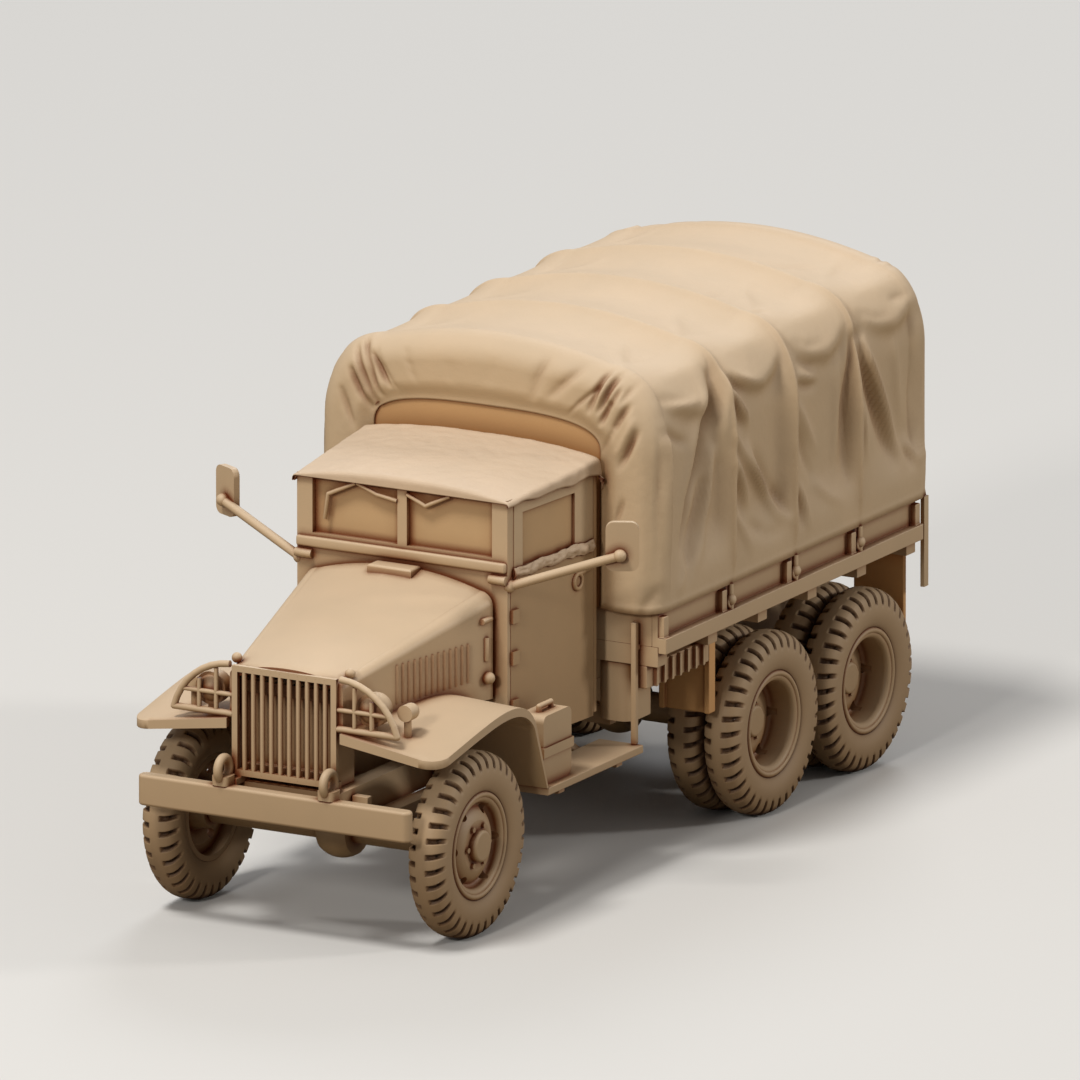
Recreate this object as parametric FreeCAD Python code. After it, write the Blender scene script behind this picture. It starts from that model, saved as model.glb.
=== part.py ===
# Printed scale model of a 1940s six-wheel-drive cargo truck with a canvas-covered bed.
# Lengths are millimetres of the model. The truck faces -Y, its left side is +X, the ground is z = 0.
# A station is a distance rearwards from the front axle. Every shape is built at its station
# and moved by frontAxleY when it is saved, so that the model is centred on the origin.
import FreeCAD, Part
import math
import os

os.makedirs("parts", exist_ok=True)

# Whole model, from the bumper to the back of the cover
frontOverhang = 20.7
bedFront = 50.8
bedLength = 84.7
tarpFrontLap = 2.4
tarpRearLap = 5.6
bedRear = bedFront + bedLength
tarpFront = bedFront - tarpFrontLap
tarpRear = bedRear + tarpRearLap
overallLength = frontOverhang + tarpRear
frontAxleY = frontOverhang - overallLength / 2

# Stations of the wheels
tyreRadius = 15.0
tyreWidth = 6.3
bogieGap = 1.2
rearOverhang = 15.2
rearStation = bedRear - rearOverhang
midStation = rearStation - 2 * tyreRadius - bogieGap
bogieSpace = midStation - tyreRadius - bedFront

# Chassis rails
railOuter = 11.0
railInner = 7.8
railWeb = 1.0
railBottom = 20.3
railTop = 25.4
railFront = -17.2
railInset = 3.5
railRear = bedRear - railInset

# Cab: its sides widen from the front wall to the back wall
sheet = 1.0
cabFrontHalf = 19.2
cabHalf = 21.1
cabFront = 22.0
cabRear = 47.5
doorFront = cabFront + sheet
doorRear = cabRear - sheet
doorBottom = 24.9
floorThickness = 1.2
cabFloorTop = railTop + floorThickness
beltHeight = 52.7
screenHeight = 12.7
screenTop = beltHeight + screenHeight

# Running boards
boardFront = 19.4
boardRear = 50.1
boardBottom = 18.9
boardTop = 20.2

# Cargo bed
bedFloorBottom = 35.3
bedFloorThickness = 1.3
bedFloorTop = bedFloorBottom + bedFloorThickness
bedHalf = 30.4
bedRailHeight = 2.6
bedRailTop = bedFloorBottom + bedRailHeight
bedBoardHeight = 10.4
bedBoardTop = bedFloorTop + bedBoardHeight
crossSillDepth = 2.3
crossSillBottom = bedFloorBottom - crossSillDepth

# Canvas cover
tarpMargin = 0.9
tarpHalf = bedHalf + tarpMargin
hemRise = 5.4
tarpBottom = bedFloorTop + hemRise
tarpSheet = 1.2
bowCount = 5


def vec(x, y, z):
    return FreeCAD.Vector(x, y, z)


def box(x0, x1, y0, y1, z0, z1):
    return Part.makeBox(x1 - x0, y1 - y0, z1 - z0, vec(x0, y0, z0))


def rod(start, end, radius):
    axis = end - start
    return Part.makeCylinder(radius, axis.Length, start, axis)


def bentRod(points, radius):
    pieces = [rod(a, b, radius) for a, b in zip(points, points[1:])]
    pieces += [Part.makeSphere(radius, p) for p in points[1:-1]]
    return fuse(pieces)


def fuse(pieces):
    result = pieces[0]
    if len(pieces) > 1:
        result = pieces[0].multiFuse(pieces[1:])
    merged = result.removeSplitter()
    return merged.Solids[0] if len(merged.Solids) == 1 else merged


def closedFace(points):
    return Part.Face(Part.makePolygon(points + [points[0]]))


def prismX(outline, x0, x1):
    face = closedFace([vec(x0, y, z) for y, z in outline])
    return face.extrude(vec(x1 - x0, 0, 0))


def prismY(outline, y0, y1):
    face = closedFace([vec(x, y0, z) for x, z in outline])
    return face.extrude(vec(0, y1 - y0, 0))


def prismZ(outline, z0, z1):
    face = closedFace([vec(x, y, z0) for x, y in outline])
    return face.extrude(vec(0, 0, z1 - z0))


def mirrored(shape):
    return shape.mirror(vec(0, 0, 0), vec(1, 0, 0))


def pair(shape):
    return [shape, mirrored(shape)]


def wireOf(runs, place):
    # Each run holds two points for a straight edge, or three for an arc
    edges = []
    for run in runs:
        points = [place(*p) for p in run]
        edges.append(Part.makeLine(*points) if len(points) == 2 else Part.Arc(*points).toShape())
    return Part.Wire(edges)


def facetedSolid(outlines):
    shell = Part.makeShell([closedFace(points) for points in outlines])
    shell.sewShape()
    solid = Part.Solid(shell)
    if solid.Volume < 0:
        solid.reverse()
    return solid


def largest(shape):
    return max(shape.Solids, key=lambda s: s.Volume)


def moved(shape, x, y, z):
    copy = shape.copy()
    copy.translate(vec(x, y, z))
    return copy


def save(name, shapes):
    solids = []
    for shape in shapes:
        solids += shape.Solids
    result = solids[0] if len(solids) == 1 else Part.makeCompound(solids)
    result = moved(result, 0, frontAxleY, 0)
    result.exportStep("parts/" + name + ".step")
    print(name, len(solids), "solids", round(result.Volume, 1))


# Tyres
tyreSection = 6.3
beadRadius = tyreRadius - tyreSection
beadHalfWidth = 2.3
ribHalfWidth = 0.9
shoulderDrop = 2.7
shoulderRadius = tyreRadius - shoulderDrop
treadEdgeDrop = 0.8
treadEdgeHalf = 2.5
slotDepth = 0.95
slotEdgeDrop = 1.7
slotEdgeHalf = 2.35
lugCount = 18
twinFacets = 24
twinGap = 0.5
frontTyreOuter = 27.4
rearTyreOuter = 31.0


def wheelPoint(x, radius, turnShare):
    # A whole turn is a share of 1, counted from the point on the ground
    angle = 2 * math.pi * turnShare
    return vec(x, radius * math.sin(angle), -radius * math.cos(angle))


def strip(profile, first, last):
    # Four-sided facets that join the same profile at two places round the wheel
    facets = []
    for (x0, r0), (x1, r1) in zip(profile, profile[1:]):
        facets.append([wheelPoint(x0, r0, first), wheelPoint(x0, r0, last),
                       wheelPoint(x1, r1, last), wheelPoint(x1, r1, first)])
    return facets


def treadHalf(side, phase):
    # Lugs and slots take turns round the tyre, half a pitch later on one side than on the other
    rib = (side * ribHalfWidth, tyreRadius)
    edge = (side * treadEdgeHalf, tyreRadius - treadEdgeDrop)
    shoulder = (side * tyreWidth / 2, shoulderRadius)
    slotRib = (side * ribHalfWidth, tyreRadius - slotDepth)
    slotEdge = (side * slotEdgeHalf, tyreRadius - slotEdgeDrop)
    steps = 2 * lugCount
    facets = []
    for i in range(steps):
        profile = [rib, edge, shoulder] if (i + phase) % 2 == 0 else [rib, slotRib, slotEdge, shoulder]
        facets += strip(profile, i / steps, (i + 1) / steps)
        wall = [rib, edge, shoulder, slotEdge, slotRib]
        facets.append([wheelPoint(x, r, i / steps) for x, r in wall])
    return facets


def sidewall(side, boreRadius):
    facets = []
    steps = 2 * lugCount
    x = side * tyreWidth / 2
    bead = side * beadHalfWidth
    for i in range(0, steps, 2):
        outer = [wheelPoint(x, shoulderRadius, (i + k) / steps) for k in range(3)]
        inner = [wheelPoint(bead, boreRadius, (i + k) / steps) for k in (0, 2)]
        facets += [[outer[0], outer[1], inner[0]], [outer[1], outer[2], inner[1]], [outer[1], inner[1], inner[0]]]
    return facets


def treadedTyre():
    steps = 2 * lugCount
    boreRadius = beadRadius / math.cos(math.pi / lugCount)
    facets = treadHalf(1, 0) + treadHalf(-1, 1) + sidewall(1, boreRadius) + sidewall(-1, boreRadius)
    for i in range(steps):
        facets += strip([(-ribHalfWidth, tyreRadius), (ribHalfWidth, tyreRadius)], i / steps, (i + 1) / steps)
    for i in range(lugCount):
        facets += strip([(-beadHalfWidth, boreRadius), (beadHalfWidth, boreRadius)], i / lugCount, (i + 1) / lugCount)
    return facetedSolid(facets)


def plainTyre():
    boreRadius = beadRadius / math.cos(math.pi / twinFacets)
    half = [(beadHalfWidth, boreRadius), (tyreWidth / 2, shoulderRadius), (treadEdgeHalf, tyreRadius)]
    profile = half + [(-x, r) for x, r in half[::-1]] + half[:1]
    facets = []
    for i in range(twinFacets):
        facets += strip(profile, i / twinFacets, (i + 1) / twinFacets)
    return facetedSolid(facets)


# Wheel discs
pinRadius = 1.5
boreClearance = 0.05
pinDepth = 3.6
discThickness = 0.9
rimDepth = 1.8
lipWidth = 0.9
lipReach = 0.3
rimEdge = 0.9
rootRadius = 0.6
crownBulge = 0.2
flangeRadius = 4.1
hubRadius = 2.6
hubBackRadius = 3.1
capEdge = 0.5
nutCount = 6
nutRadius = 0.42
nutHeight = 0.45
nutCircle = 3.4
handHoleCount = 6
handHoleRadius = 0.85
handHoleCircle = 6.2
frontDish = 2.4
frontCrown = 1.2
frontHubOuter = 27.4
rearDish = 5.6
rearCrown = 0.5
rearHubOuter = 27.1
arcShare = 0.2929


def discRuns(rimX, face, flangeX, hubOuterX, innerX):
    # Round the section from the inner bead: rim lip, barrel, crowned face, flange, hub cap, bore and back
    opening = beadRadius - rimDepth
    lipFoot = beadRadius - lipWidth
    back = face - discThickness
    flangeBack = flangeX - discThickness
    hollow = beadRadius - discThickness
    rise = (face + flangeX) / 2 + crownBulge
    drop = (opening - rootRadius + flangeRadius) / 2
    bore = pinRadius + boreClearance
    front = [
        [(innerX, beadRadius), (rimX, beadRadius)],
        [(rimX, beadRadius), (rimX + lipReach, beadRadius - lipWidth / 2), (rimX, lipFoot)],
        [(rimX, lipFoot), (rimX - rimEdge * arcShare, opening + rimEdge * arcShare), (rimX - rimEdge, opening)],
        [(rimX - rimEdge, opening), (face + rootRadius, opening)],
        [(face + rootRadius, opening), (face + rootRadius * arcShare, opening - rootRadius * arcShare),
         (face, opening - rootRadius)],
        [(face, opening - rootRadius), (rise, drop), (flangeX, flangeRadius)],
        [(flangeX, flangeRadius), (flangeX, hubRadius)],
        [(flangeX, hubRadius), (hubOuterX - capEdge, hubRadius)],
        [(hubOuterX - capEdge, hubRadius), (hubOuterX - capEdge * arcShare, hubRadius - capEdge * arcShare),
         (hubOuterX, hubRadius - capEdge)],
        [(hubOuterX, hubRadius - capEdge), (hubOuterX, 0)],
    ]
    rear = [(hubOuterX, 0), (innerX + pinDepth, 0), (innerX + pinDepth, bore), (innerX, bore),
            (innerX, hubBackRadius), (flangeBack, flangeRadius), (back, opening - rootRadius),
            (back, hollow), (innerX, hollow), (innerX, beadRadius)]
    return front + [list(ends) for ends in zip(rear, rear[1:])]


def ringOf(count, circle, maker):
    shapes = []
    for i in range(count):
        angle = 2 * math.pi * i / count
        shapes.append(maker(circle * math.cos(angle), circle * math.sin(angle)))
    return shapes


def wheelDisc(outerX, hubOuterX, innerX, dish, crown, station):
    rimX = outerX - (tyreWidth / 2 - beadHalfWidth)
    face = outerX - dish
    flangeX = face + crown
    wire = wireOf(discRuns(rimX, face, flangeX, hubOuterX, innerX), lambda x, r: vec(x, 0, r))
    body = Part.Face(wire).revolve(vec(0, 0, 0), vec(1, 0, 0), 360)

    def nut(dy, dz):
        return rod(vec(flangeX - nutHeight, dy, dz), vec(flangeX + nutHeight, dy, dz), nutRadius)

    def handHole(dy, dz):
        return rod(vec(face - discThickness - rootRadius, dy, dz), vec(face + rootRadius + discThickness, dy, dz), handHoleRadius)

    disc = fuse([body] + ringOf(nutCount, nutCircle, nut))
    for hole in ringOf(handHoleCount, handHoleCircle, handHole):
        disc = disc.cut(hole)
    return moved(largest(disc), 0, station, tyreRadius)


def buildWheels():
    beadInset = tyreWidth / 2 - beadHalfWidth
    treaded = treadedTyre()
    plain = plainTyre()
    frontCentre = frontTyreOuter - tyreWidth / 2
    frontInner = frontTyreOuter - tyreWidth + beadInset
    frontDisc = wheelDisc(frontTyreOuter, frontHubOuter, frontInner, frontDish, frontCrown, 0)
    saveWheel("front", [moved(treaded, frontCentre, 0, tyreRadius)], frontDisc)
    outerCentre = rearTyreOuter - tyreWidth / 2
    innerCentre = outerCentre - tyreWidth - twinGap
    twinInner = innerCentre - beadHalfWidth
    for label, station in (("mid", midStation), ("rear", rearStation)):
        tyres = [moved(treaded, outerCentre, station, tyreRadius), moved(plain, innerCentre, station, tyreRadius)]
        disc = wheelDisc(rearTyreOuter, rearHubOuter, twinInner, rearDish, rearCrown, station)
        saveWheel(label, tyres, disc)
    return frontInner, twinInner


def saveWheel(label, tyres, disc):
    save("tyre_" + label + "_left", tyres)
    save("disc_" + label + "_left", [disc])
    save("tyre_" + label + "_right", [mirrored(t) for t in tyres])
    save("disc_" + label + "_right", [mirrored(disc)])


# Axles
axleTubeRadius = 2.4
differentialRadius = 5.0
differentialWidth = 5.4
differentialOffset = 1.8
noseLength = 2.7
noseRadius = 1.8
wheelRunningGap = 0.35


def axleSolid(station, wheelInner):
    hubX = wheelInner - wheelRunningGap
    pinTip = wheelInner + pinDepth - wheelRunningGap
    tube = rod(vec(-hubX, station, tyreRadius), vec(hubX, station, tyreRadius), axleTubeRadius)
    pin = rod(vec(-pinTip, station, tyreRadius), vec(pinTip, station, tyreRadius), pinRadius)
    centre = vec(differentialOffset, station, tyreRadius)
    ball = Part.makeSphere(differentialRadius, centre)
    slab = box(differentialOffset - differentialWidth / 2, differentialOffset + differentialWidth / 2,
               station - differentialRadius, station + differentialRadius,
               tyreRadius - differentialRadius, tyreRadius + differentialRadius)
    nose = rod(centre, centre + vec(0, differentialRadius + noseLength, 0), noseRadius)
    return fuse([tube, pin, ball.common(slab), nose])


def buildAxles(frontInner, twinInner):
    front = axleSolid(0, frontInner)
    mid = axleSolid(midStation, twinInner)
    rear = axleSolid(rearStation, twinInner)
    save("axle_front", [front])
    save("axles_rear", [mid, rear])
    return front, mid, rear


# Springs
springPitch = 12.6
springHalfWidth = 1.4
springInner = springPitch - springHalfWidth
springOuter = springPitch + springHalfWidth
springLeaf = 0.7
springLeaves = 4
springReachFront = 13.6
bogieBottom = 17.6
trunnionDrop = 1.4
trunnionReach = 2.8
bracketDrop = 2.8
bracketTopHalf = 5.6
bracketLowHalf = 2.8


def leaf(station, reach, z0):
    return box(springInner, springOuter, station - reach, station + reach, z0, z0 + springLeaf)


def buildFrontSprings(axle):
    # Each leaf is shorter than the one above it, and the lowest one rests on the axle tube
    pieces = []
    for i in range(springLeaves):
        pieces.append(leaf(0, springReachFront * (springLeaves - i) / springLeaves, railBottom - (i + 1) * springLeaf))
    pieces.append(box(springInner, springOuter, -springHalfWidth, springHalfWidth, tyreRadius, railBottom))
    for y in (-springReachFront + springLeaf, springReachFront - springLeaf):
        pieces.append(box(springInner, springOuter, y - springLeaf, y + springLeaf, railBottom, railTop - sheet))
    block = fuse(pieces).cut(axle).cut(box(0, railOuter, railFront, railRear, 0, railTop))
    save("springs_front", pair(block))


def buildRearSprings(mid, rear):
    centre = (midStation + rearStation) / 2
    half = (rearStation - midStation) / 2 + springHalfWidth
    pieces = [leaf(centre, half, bogieBottom), leaf(centre, half, bogieBottom + springLeaf)]
    for i in range(springLeaves):
        reach = half * (springLeaves - i) / (springLeaves + 1)
        pieces.append(leaf(centre, reach, bogieBottom + springLeaf * (2 + i)))
    pivotHeight = railBottom - trunnionDrop
    pieces.append(rod(vec(railOuter, centre, pivotHeight), vec(springPitch + trunnionReach, centre, pivotHeight),
                      trunnionReach))
    low = railBottom - bracketDrop
    outline = [(centre - bracketTopHalf, railTop), (centre + bracketTopHalf, railTop), (centre + bracketLowHalf, low),
               (centre - bracketLowHalf, low)]
    pieces.append(prismX(outline, railOuter, railOuter + sheet))
    for station in (midStation, rearStation):
        pieces.append(box(springInner, springOuter, station - springHalfWidth, station + springHalfWidth, tyreRadius,
                          bogieBottom + springLeaf))
    save("springs_rear", pair(fuse(pieces).cut(mid).cut(rear)))


# Chassis
crossWidth = 3.0
crossDepth = 3.2
crossShares = (0.028, 0.303, 0.531, 0.7185, 0.913, 0.989)


def buildFrame():
    web = box(railOuter - railWeb, railOuter, railFront, railRear, railBottom, railTop)
    low = box(railInner, railOuter, railFront, railRear, railBottom, railBottom + railWeb)
    high = box(railInner, railOuter, railFront, railRear, railTop - railWeb, railTop)
    pieces = pair(fuse([web, low, high]))
    middle = (railBottom + railTop) / 2
    reach = railOuter - railWeb
    for share in crossShares:
        station = railFront + (railRear - railFront) * share
        pieces.append(box(-reach, reach, station - crossWidth / 2, station + crossWidth / 2,
                          middle - crossDepth / 2, middle + crossDepth / 2))
    save("frame_rails", [fuse(pieces)])


# Bumper and towing hooks
bumperHalf = 24.7
bumperFront = -19.6
bumperBottom = 19.5
bumperTop = 24.6
bumperEdge = 0.5
bumperEnd = 1.1
hookPitch = 9.6
hookStation = -18.2
hookRise = 2.5
hookRod = 0.75
hookBase = 1.5


def buildBumper():
    plate = box(-bumperHalf, bumperHalf, bumperFront, railFront, bumperBottom, bumperTop)
    plate = plate.makeFillet(bumperEnd, [e for e in plate.Edges if e.BoundBox.ZLength > bumperEnd])
    plate = plate.makeFillet(bumperEdge, [e for e in plate.Edges if e.BoundBox.XLength > bumperHalf])
    save("front_bumper", [plate])


def buildHooks():
    # A base plate on the bumper, and a ring that leans forward over its top edge
    centre = vec(hookPitch, hookStation, bumperTop + hookRise)
    ring = Part.makeTorus(hookRise - hookRod, hookRod, centre, vec(1, 0, 0))
    ring = ring.cut(box(0, bumperHalf, bumperFront - hookRise, 0, 0, bumperTop))
    base = box(hookPitch - hookBase, hookPitch + hookBase, hookStation - hookBase, hookStation + hookBase,
               bumperTop, bumperTop + hookBase)
    base = base.makeFillet(hookRod, [e for e in base.Edges if e.BoundBox.ZLength > hookRod])
    hook = fuse([ring, base]).cut(box(0, railOuter, railFront, cabRear, railBottom, railTop))
    save("tow_hooks", pair(hook))


# Hood
hoodFront = -14.9
hoodFrontHalf = 10.3
hoodFrontTop = 43.9
hoodFrontDrop = 2.3
hoodFrontBottom = 35.5
seamWidth = 1.0
seamDepth = 0.6
hoodRear = cabFront - seamWidth
hoodRearHalf = 17.1
hoodRearTop = beltHeight
hoodRearDrop = 4.5
hoodRearBottom = 33.0
hoodShoulderShare = 0.5
louvreCount = 13
louvreFront = -2.1
louvreRear = 14.9
louvreBottom = 36.9
louvreTop = 43.2
louvreHalfWidth = 0.42
louvreRise = 0.35
louvreRoot = 0.4
lidHalf = 4.0
lidLength = 3.2
lidRise = 0.45
catchStation = 19.4
catchBottom = 39.6
catchTop = 43.4
catchRadius = 0.5
catchPinHeight = 46.2
catchPinLength = 2.8
catchKnobHeight = 36.8
catchKnobRadius = 1.0
cornerKnobStation = -12.6
cornerKnobRadius = 0.85


def hoodSection(station, half, crest, shoulder, bottom):
    # Flat sides, rounded shoulders and a gentle crown
    inset = (crest - shoulder) * hoodShoulderShare
    corner = (half - inset * arcShare, shoulder + inset * (1 - arcShare))
    brow = (half - inset, shoulder + inset)
    runs = [[(half, bottom), (half, shoulder)], [(half, shoulder), corner, brow],
            [brow, (0, crest), (-brow[0], brow[1])],
            [(-brow[0], brow[1]), (-corner[0], corner[1]), (-half, shoulder)],
            [(-half, shoulder), (-half, bottom)], [(-half, bottom), (half, bottom)]]
    return wireOf(runs, lambda x, z: vec(x, station, z))


def hoodLoft(inset):
    front = hoodSection(hoodFront, hoodFrontHalf - inset, hoodFrontTop - inset, hoodFrontTop - hoodFrontDrop - inset,
                        hoodFrontBottom)
    rear = hoodSection(hoodRear, hoodRearHalf - inset, hoodRearTop - inset, hoodRearTop - hoodRearDrop - inset,
                       hoodRearBottom)
    return Part.makeLoft([front, rear], True, True)


def hoodHalfAt(station):
    return hoodFrontHalf + (hoodRearHalf - hoodFrontHalf) * (station - hoodFront) / (hoodRear - hoodFront)


def hoodLouvres():
    louvres = []
    for i in range(louvreCount):
        y = louvreFront + (louvreRear - louvreFront) * i / (louvreCount - 1)
        x = hoodHalfAt(y)
        outline = [(x - louvreRoot, y - louvreHalfWidth), (x + louvreRise, y), (x - louvreRoot, y + louvreHalfWidth)]
        louvres += pair(prismZ(outline, louvreBottom, louvreTop))
    return louvres


def hoodCatches():
    x = hoodHalfAt(catchStation)
    pinFront = catchStation - catchPinLength / 2
    bar = rod(vec(x, catchStation, catchBottom), vec(x, catchStation, catchTop), catchRadius)
    pin = rod(vec(x, pinFront, catchPinHeight), vec(x, pinFront + catchPinLength, catchPinHeight), catchRadius)
    knob = Part.makeSphere(catchKnobRadius, vec(x + catchRadius, catchStation, catchKnobHeight))
    corner = Part.makeSphere(cornerKnobRadius, vec(hoodFrontHalf, cornerKnobStation, hoodFrontTop))
    return [side for piece in (bar, pin, knob, corner) for side in pair(piece)]


def buildHood():
    outer = hoodLoft(0)
    inner = hoodLoft(sheet)
    lid = box(-lidHalf, lidHalf, hoodRear - lidLength, hoodRear, hoodRearTop - sheet, hoodRearTop + lidRise)
    lid = lid.makeFillet(lidRise, [e for e in lid.Edges if e.BoundBox.ZMin > hoodRearTop])
    trimmed = fuse([outer, lid] + hoodLouvres() + hoodCatches()).cut(inner)
    save("hood", [largest(trimmed)])
    return outer


# Grille
guardHalf = 9.5
guardFront = -15.7
guardDepth = 0.8
guardBottom = 25.6
guardTop = 43.5
guardBar = 0.42
guardFrameBar = 1.0
guardBars = 10
radiatorFront = -14.0
radiatorRear = -9.0
radiatorHalf = 9.0
radiatorTop = 41.0
coreMargin = 2.0


def buildGrille(hood):
    back = guardFront + guardDepth
    centreY = guardFront + guardDepth / 2
    side = box(guardHalf - guardFrameBar, guardHalf, guardFront, back, guardBottom, guardTop)
    top = box(-guardHalf, guardHalf, guardFront, back, guardTop - guardFrameBar, guardTop)
    low = box(-guardHalf, guardHalf, guardFront, back, guardBottom, guardBottom + guardFrameBar)
    pieces = pair(side) + [top, low]
    pitch = 2 * (guardHalf - guardFrameBar / 2) / (guardBars + 1)
    for i in range(1, guardBars + 1):
        x = -guardHalf + guardFrameBar / 2 + pitch * i
        pieces.append(rod(vec(x, centreY, guardBottom + guardBar), vec(x, centreY, guardTop - guardBar), guardBar))
    foot = box(railInner, guardHalf, guardFront, radiatorFront, railTop, guardBottom + guardFrameBar)
    tie = box(radiatorHalf - guardFrameBar, radiatorHalf, back, radiatorFront, radiatorTop - guardFrameBar, radiatorTop)
    pieces += pair(foot) + pair(tie)
    save("grille_guard", [fuse(pieces).cut(hood)])
    shell = box(-radiatorHalf, radiatorHalf, radiatorFront, radiatorRear, railTop, radiatorTop)
    core = box(-radiatorHalf + sheet, radiatorHalf - sheet, radiatorFront, radiatorFront + sheet,
               railTop + coreMargin, radiatorTop - coreMargin)
    save("radiator", [shell.cut(core)])


# Cab
def cabHalfAt(station):
    return cabFrontHalf + (cabHalf - cabFrontHalf) * (station - cabFront) / (cabRear - cabFront)


def cabPlan(inset, first, last):
    x0 = cabHalfAt(first) - inset
    x1 = cabHalfAt(last) - inset
    return [(-x0, first), (x0, first), (x1, last), (-x1, last)]


def cabWall(depth, thickness, first, last, z0, z1):
    # A stretch of the left side, set back by its depth
    x0 = cabHalfAt(first) - depth
    x1 = cabHalfAt(last) - depth
    return prismZ([(x0 - thickness, first), (x0, first), (x1, last), (x1 - thickness, last)], z0, z1)


def buildCowl():
    # The hood ends one seam before the cab's front wall, and a smaller section closes the seam
    wall = box(-cabFrontHalf, cabFrontHalf, cabFront, doorFront, railTop, beltHeight)
    section = hoodSection(hoodRear, hoodRearHalf - seamDepth, hoodRearTop - seamDepth,
                          hoodRearTop - hoodRearDrop - seamDepth, hoodRearBottom)
    seam = Part.Face(section).extrude(vec(0, seamWidth, 0))
    cowl = fuse([wall, seam])
    save("cowl", [cowl])
    return cowl


seatInset = 4.0
seatDepth = 9.0
seatTop = 36.0
seatBackThickness = 2.0
seatBackHeight = 14.7
steeringPitch = 9.5
steeringRadius = 5.2
steeringRod = 0.75
steeringStation = 29.4
steeringHeight = 45.0
steeringLeanShare = -0.5
columnStation = 24.6


def buildCab():
    floor = prismZ(cabPlan(sheet, doorFront, doorRear), railTop, cabFloorTop)
    save("cab_floor", [floor])
    seatHalf = cabFrontHalf - seatInset
    seat = box(-seatHalf, seatHalf, doorRear - seatDepth, doorRear, cabFloorTop, seatTop)
    back = box(-seatHalf, seatHalf, doorRear - seatBackThickness, doorRear, seatTop, seatTop + seatBackHeight)
    save("seat", [fuse([seat, back])])
    hub = vec(steeringPitch, steeringStation, steeringHeight)
    wheel = Part.makeTorus(steeringRadius, steeringRod, hub, vec(0, steeringLeanShare, 1))
    column = rod(vec(steeringPitch, columnStation, cabFloorTop), hub, steeringRod)
    spoke = rod(hub - vec(steeringRadius, 0, 0), hub + vec(steeringRadius, 0, 0), steeringRod)
    save("steering_wheel", [largest(fuse([wheel, column, spoke]).cut(floor))])
    save("cab_back", [prismZ(cabPlan(0, doorRear, cabRear), railTop, screenTop)])


handleStation = 42.0
handleHeight = 48.0
handleRing = 1.2
handleRod = 0.4
handleStub = 3.6
hingeHeights = (31.5, 39.4, 46.2)
hingeLength = 1.8
hingeHeight = 2.2
hingeProud = 0.45


def buildDoors():
    panel = cabWall(0, sheet, doorFront, doorRear, doorBottom, beltHeight)
    pieces = [panel]
    for z in hingeHeights:
        end = doorFront + hingeLength
        pieces.append(cabWall(-hingeProud, hingeProud + sheet, doorFront, end, z - hingeHeight / 2, z + hingeHeight / 2))
    x = cabHalfAt(handleStation)
    pieces.append(Part.makeTorus(handleRing, handleRod, vec(x, handleStation, handleHeight), vec(1, 0, 0)))
    pieces.append(rod(vec(x, handleStation, handleHeight + handleRing),
                      vec(x, handleStation + handleStub, handleHeight + handleRing), handleRod))
    door = fuse(pieces)
    save("doors", pair(door))
    return door


screenDepth = 1.9
screenHalf = cabFrontHalf
screenSideBar = 2.8
screenLowBar = 3.1
screenTopBar = 0.6
screenMidBar = 1.7
paneRecess = 1.1
paneThickness = 0.5
wiperRadius = 0.33
pivotRadius = 0.75
pivotLength = 3.0
pivotDrop = 0.3
wiperRuns = (((-8.5, 12.2), (-13.5, 9.8), (-14.1, 5.7)), ((-8.2, 12.2), (-4.6, 10.8), (-0.9, 10.2)),
             ((0.9, 11.5), (4.3, 10.0), (8.7, 12.2)))


def buildScreen(cowl):
    y0 = cabFront
    y1 = cabFront + screenDepth
    side = box(screenHalf - screenSideBar, screenHalf, y0, y1, beltHeight, screenTop)
    top = box(-screenHalf, screenHalf, y0, y1, screenTop - screenTopBar, screenTop)
    low = box(-screenHalf, screenHalf, y0, y1, beltHeight, beltHeight + screenLowBar)
    mid = box(-screenMidBar / 2, screenMidBar / 2, y0, y1, beltHeight, screenTop)
    pieces = pair(side) + [top, low, mid]
    pivotY = cabFront - pivotRadius / 2
    pivotZ = beltHeight - pivotDrop
    pieces += pair(rod(vec(screenHalf - pivotLength, pivotY, pivotZ), vec(screenHalf, pivotY, pivotZ), pivotRadius))
    for run in wiperRuns:
        points = [vec(x, cabFront, beltHeight + rise) for x, rise in run]
        pieces.append(bentRod(points, wiperRadius))
    frame = largest(fuse(pieces).cut(cowl))
    save("windscreen_frame", [frame])
    back = y0 + paneRecess + paneThickness
    pane = box(screenMidBar / 2, screenHalf - screenSideBar, y0 + paneRecess, back, beltHeight + screenLowBar,
               screenTop - screenTopBar)
    save("windscreen_panes", pair(pane))
    return frame


sideWindowFront = 26.4
sideWindowRear = 41.2
sideWindowSill = 1.2
sideWindowHeight = 8.7
sidePaneRecess = 0.45
sidePaneThickness = 0.4
windowCut = 3.0


def buildCurtains():
    z0 = beltHeight + sideWindowSill
    z1 = z0 + sideWindowHeight
    wall = cabWall(0, sheet, cabFront + screenDepth, doorRear, beltHeight, screenTop)
    opening = cabWall(-sheet, windowCut, sideWindowFront, sideWindowRear, z0, z1)
    save("side_curtains", pair(wall.cut(opening)))
    pane = cabWall(sidePaneRecess, sidePaneThickness, sideWindowFront, sideWindowRear, z0, z1)
    save("side_panes", pair(pane))


roofFront = 21.5
roofRear = 47.8
roofLap = 0.5
roofRise = 1.5
roofSlope = 1.9
roofEdge = 1.7
valanceDrop = 1.0


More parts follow.
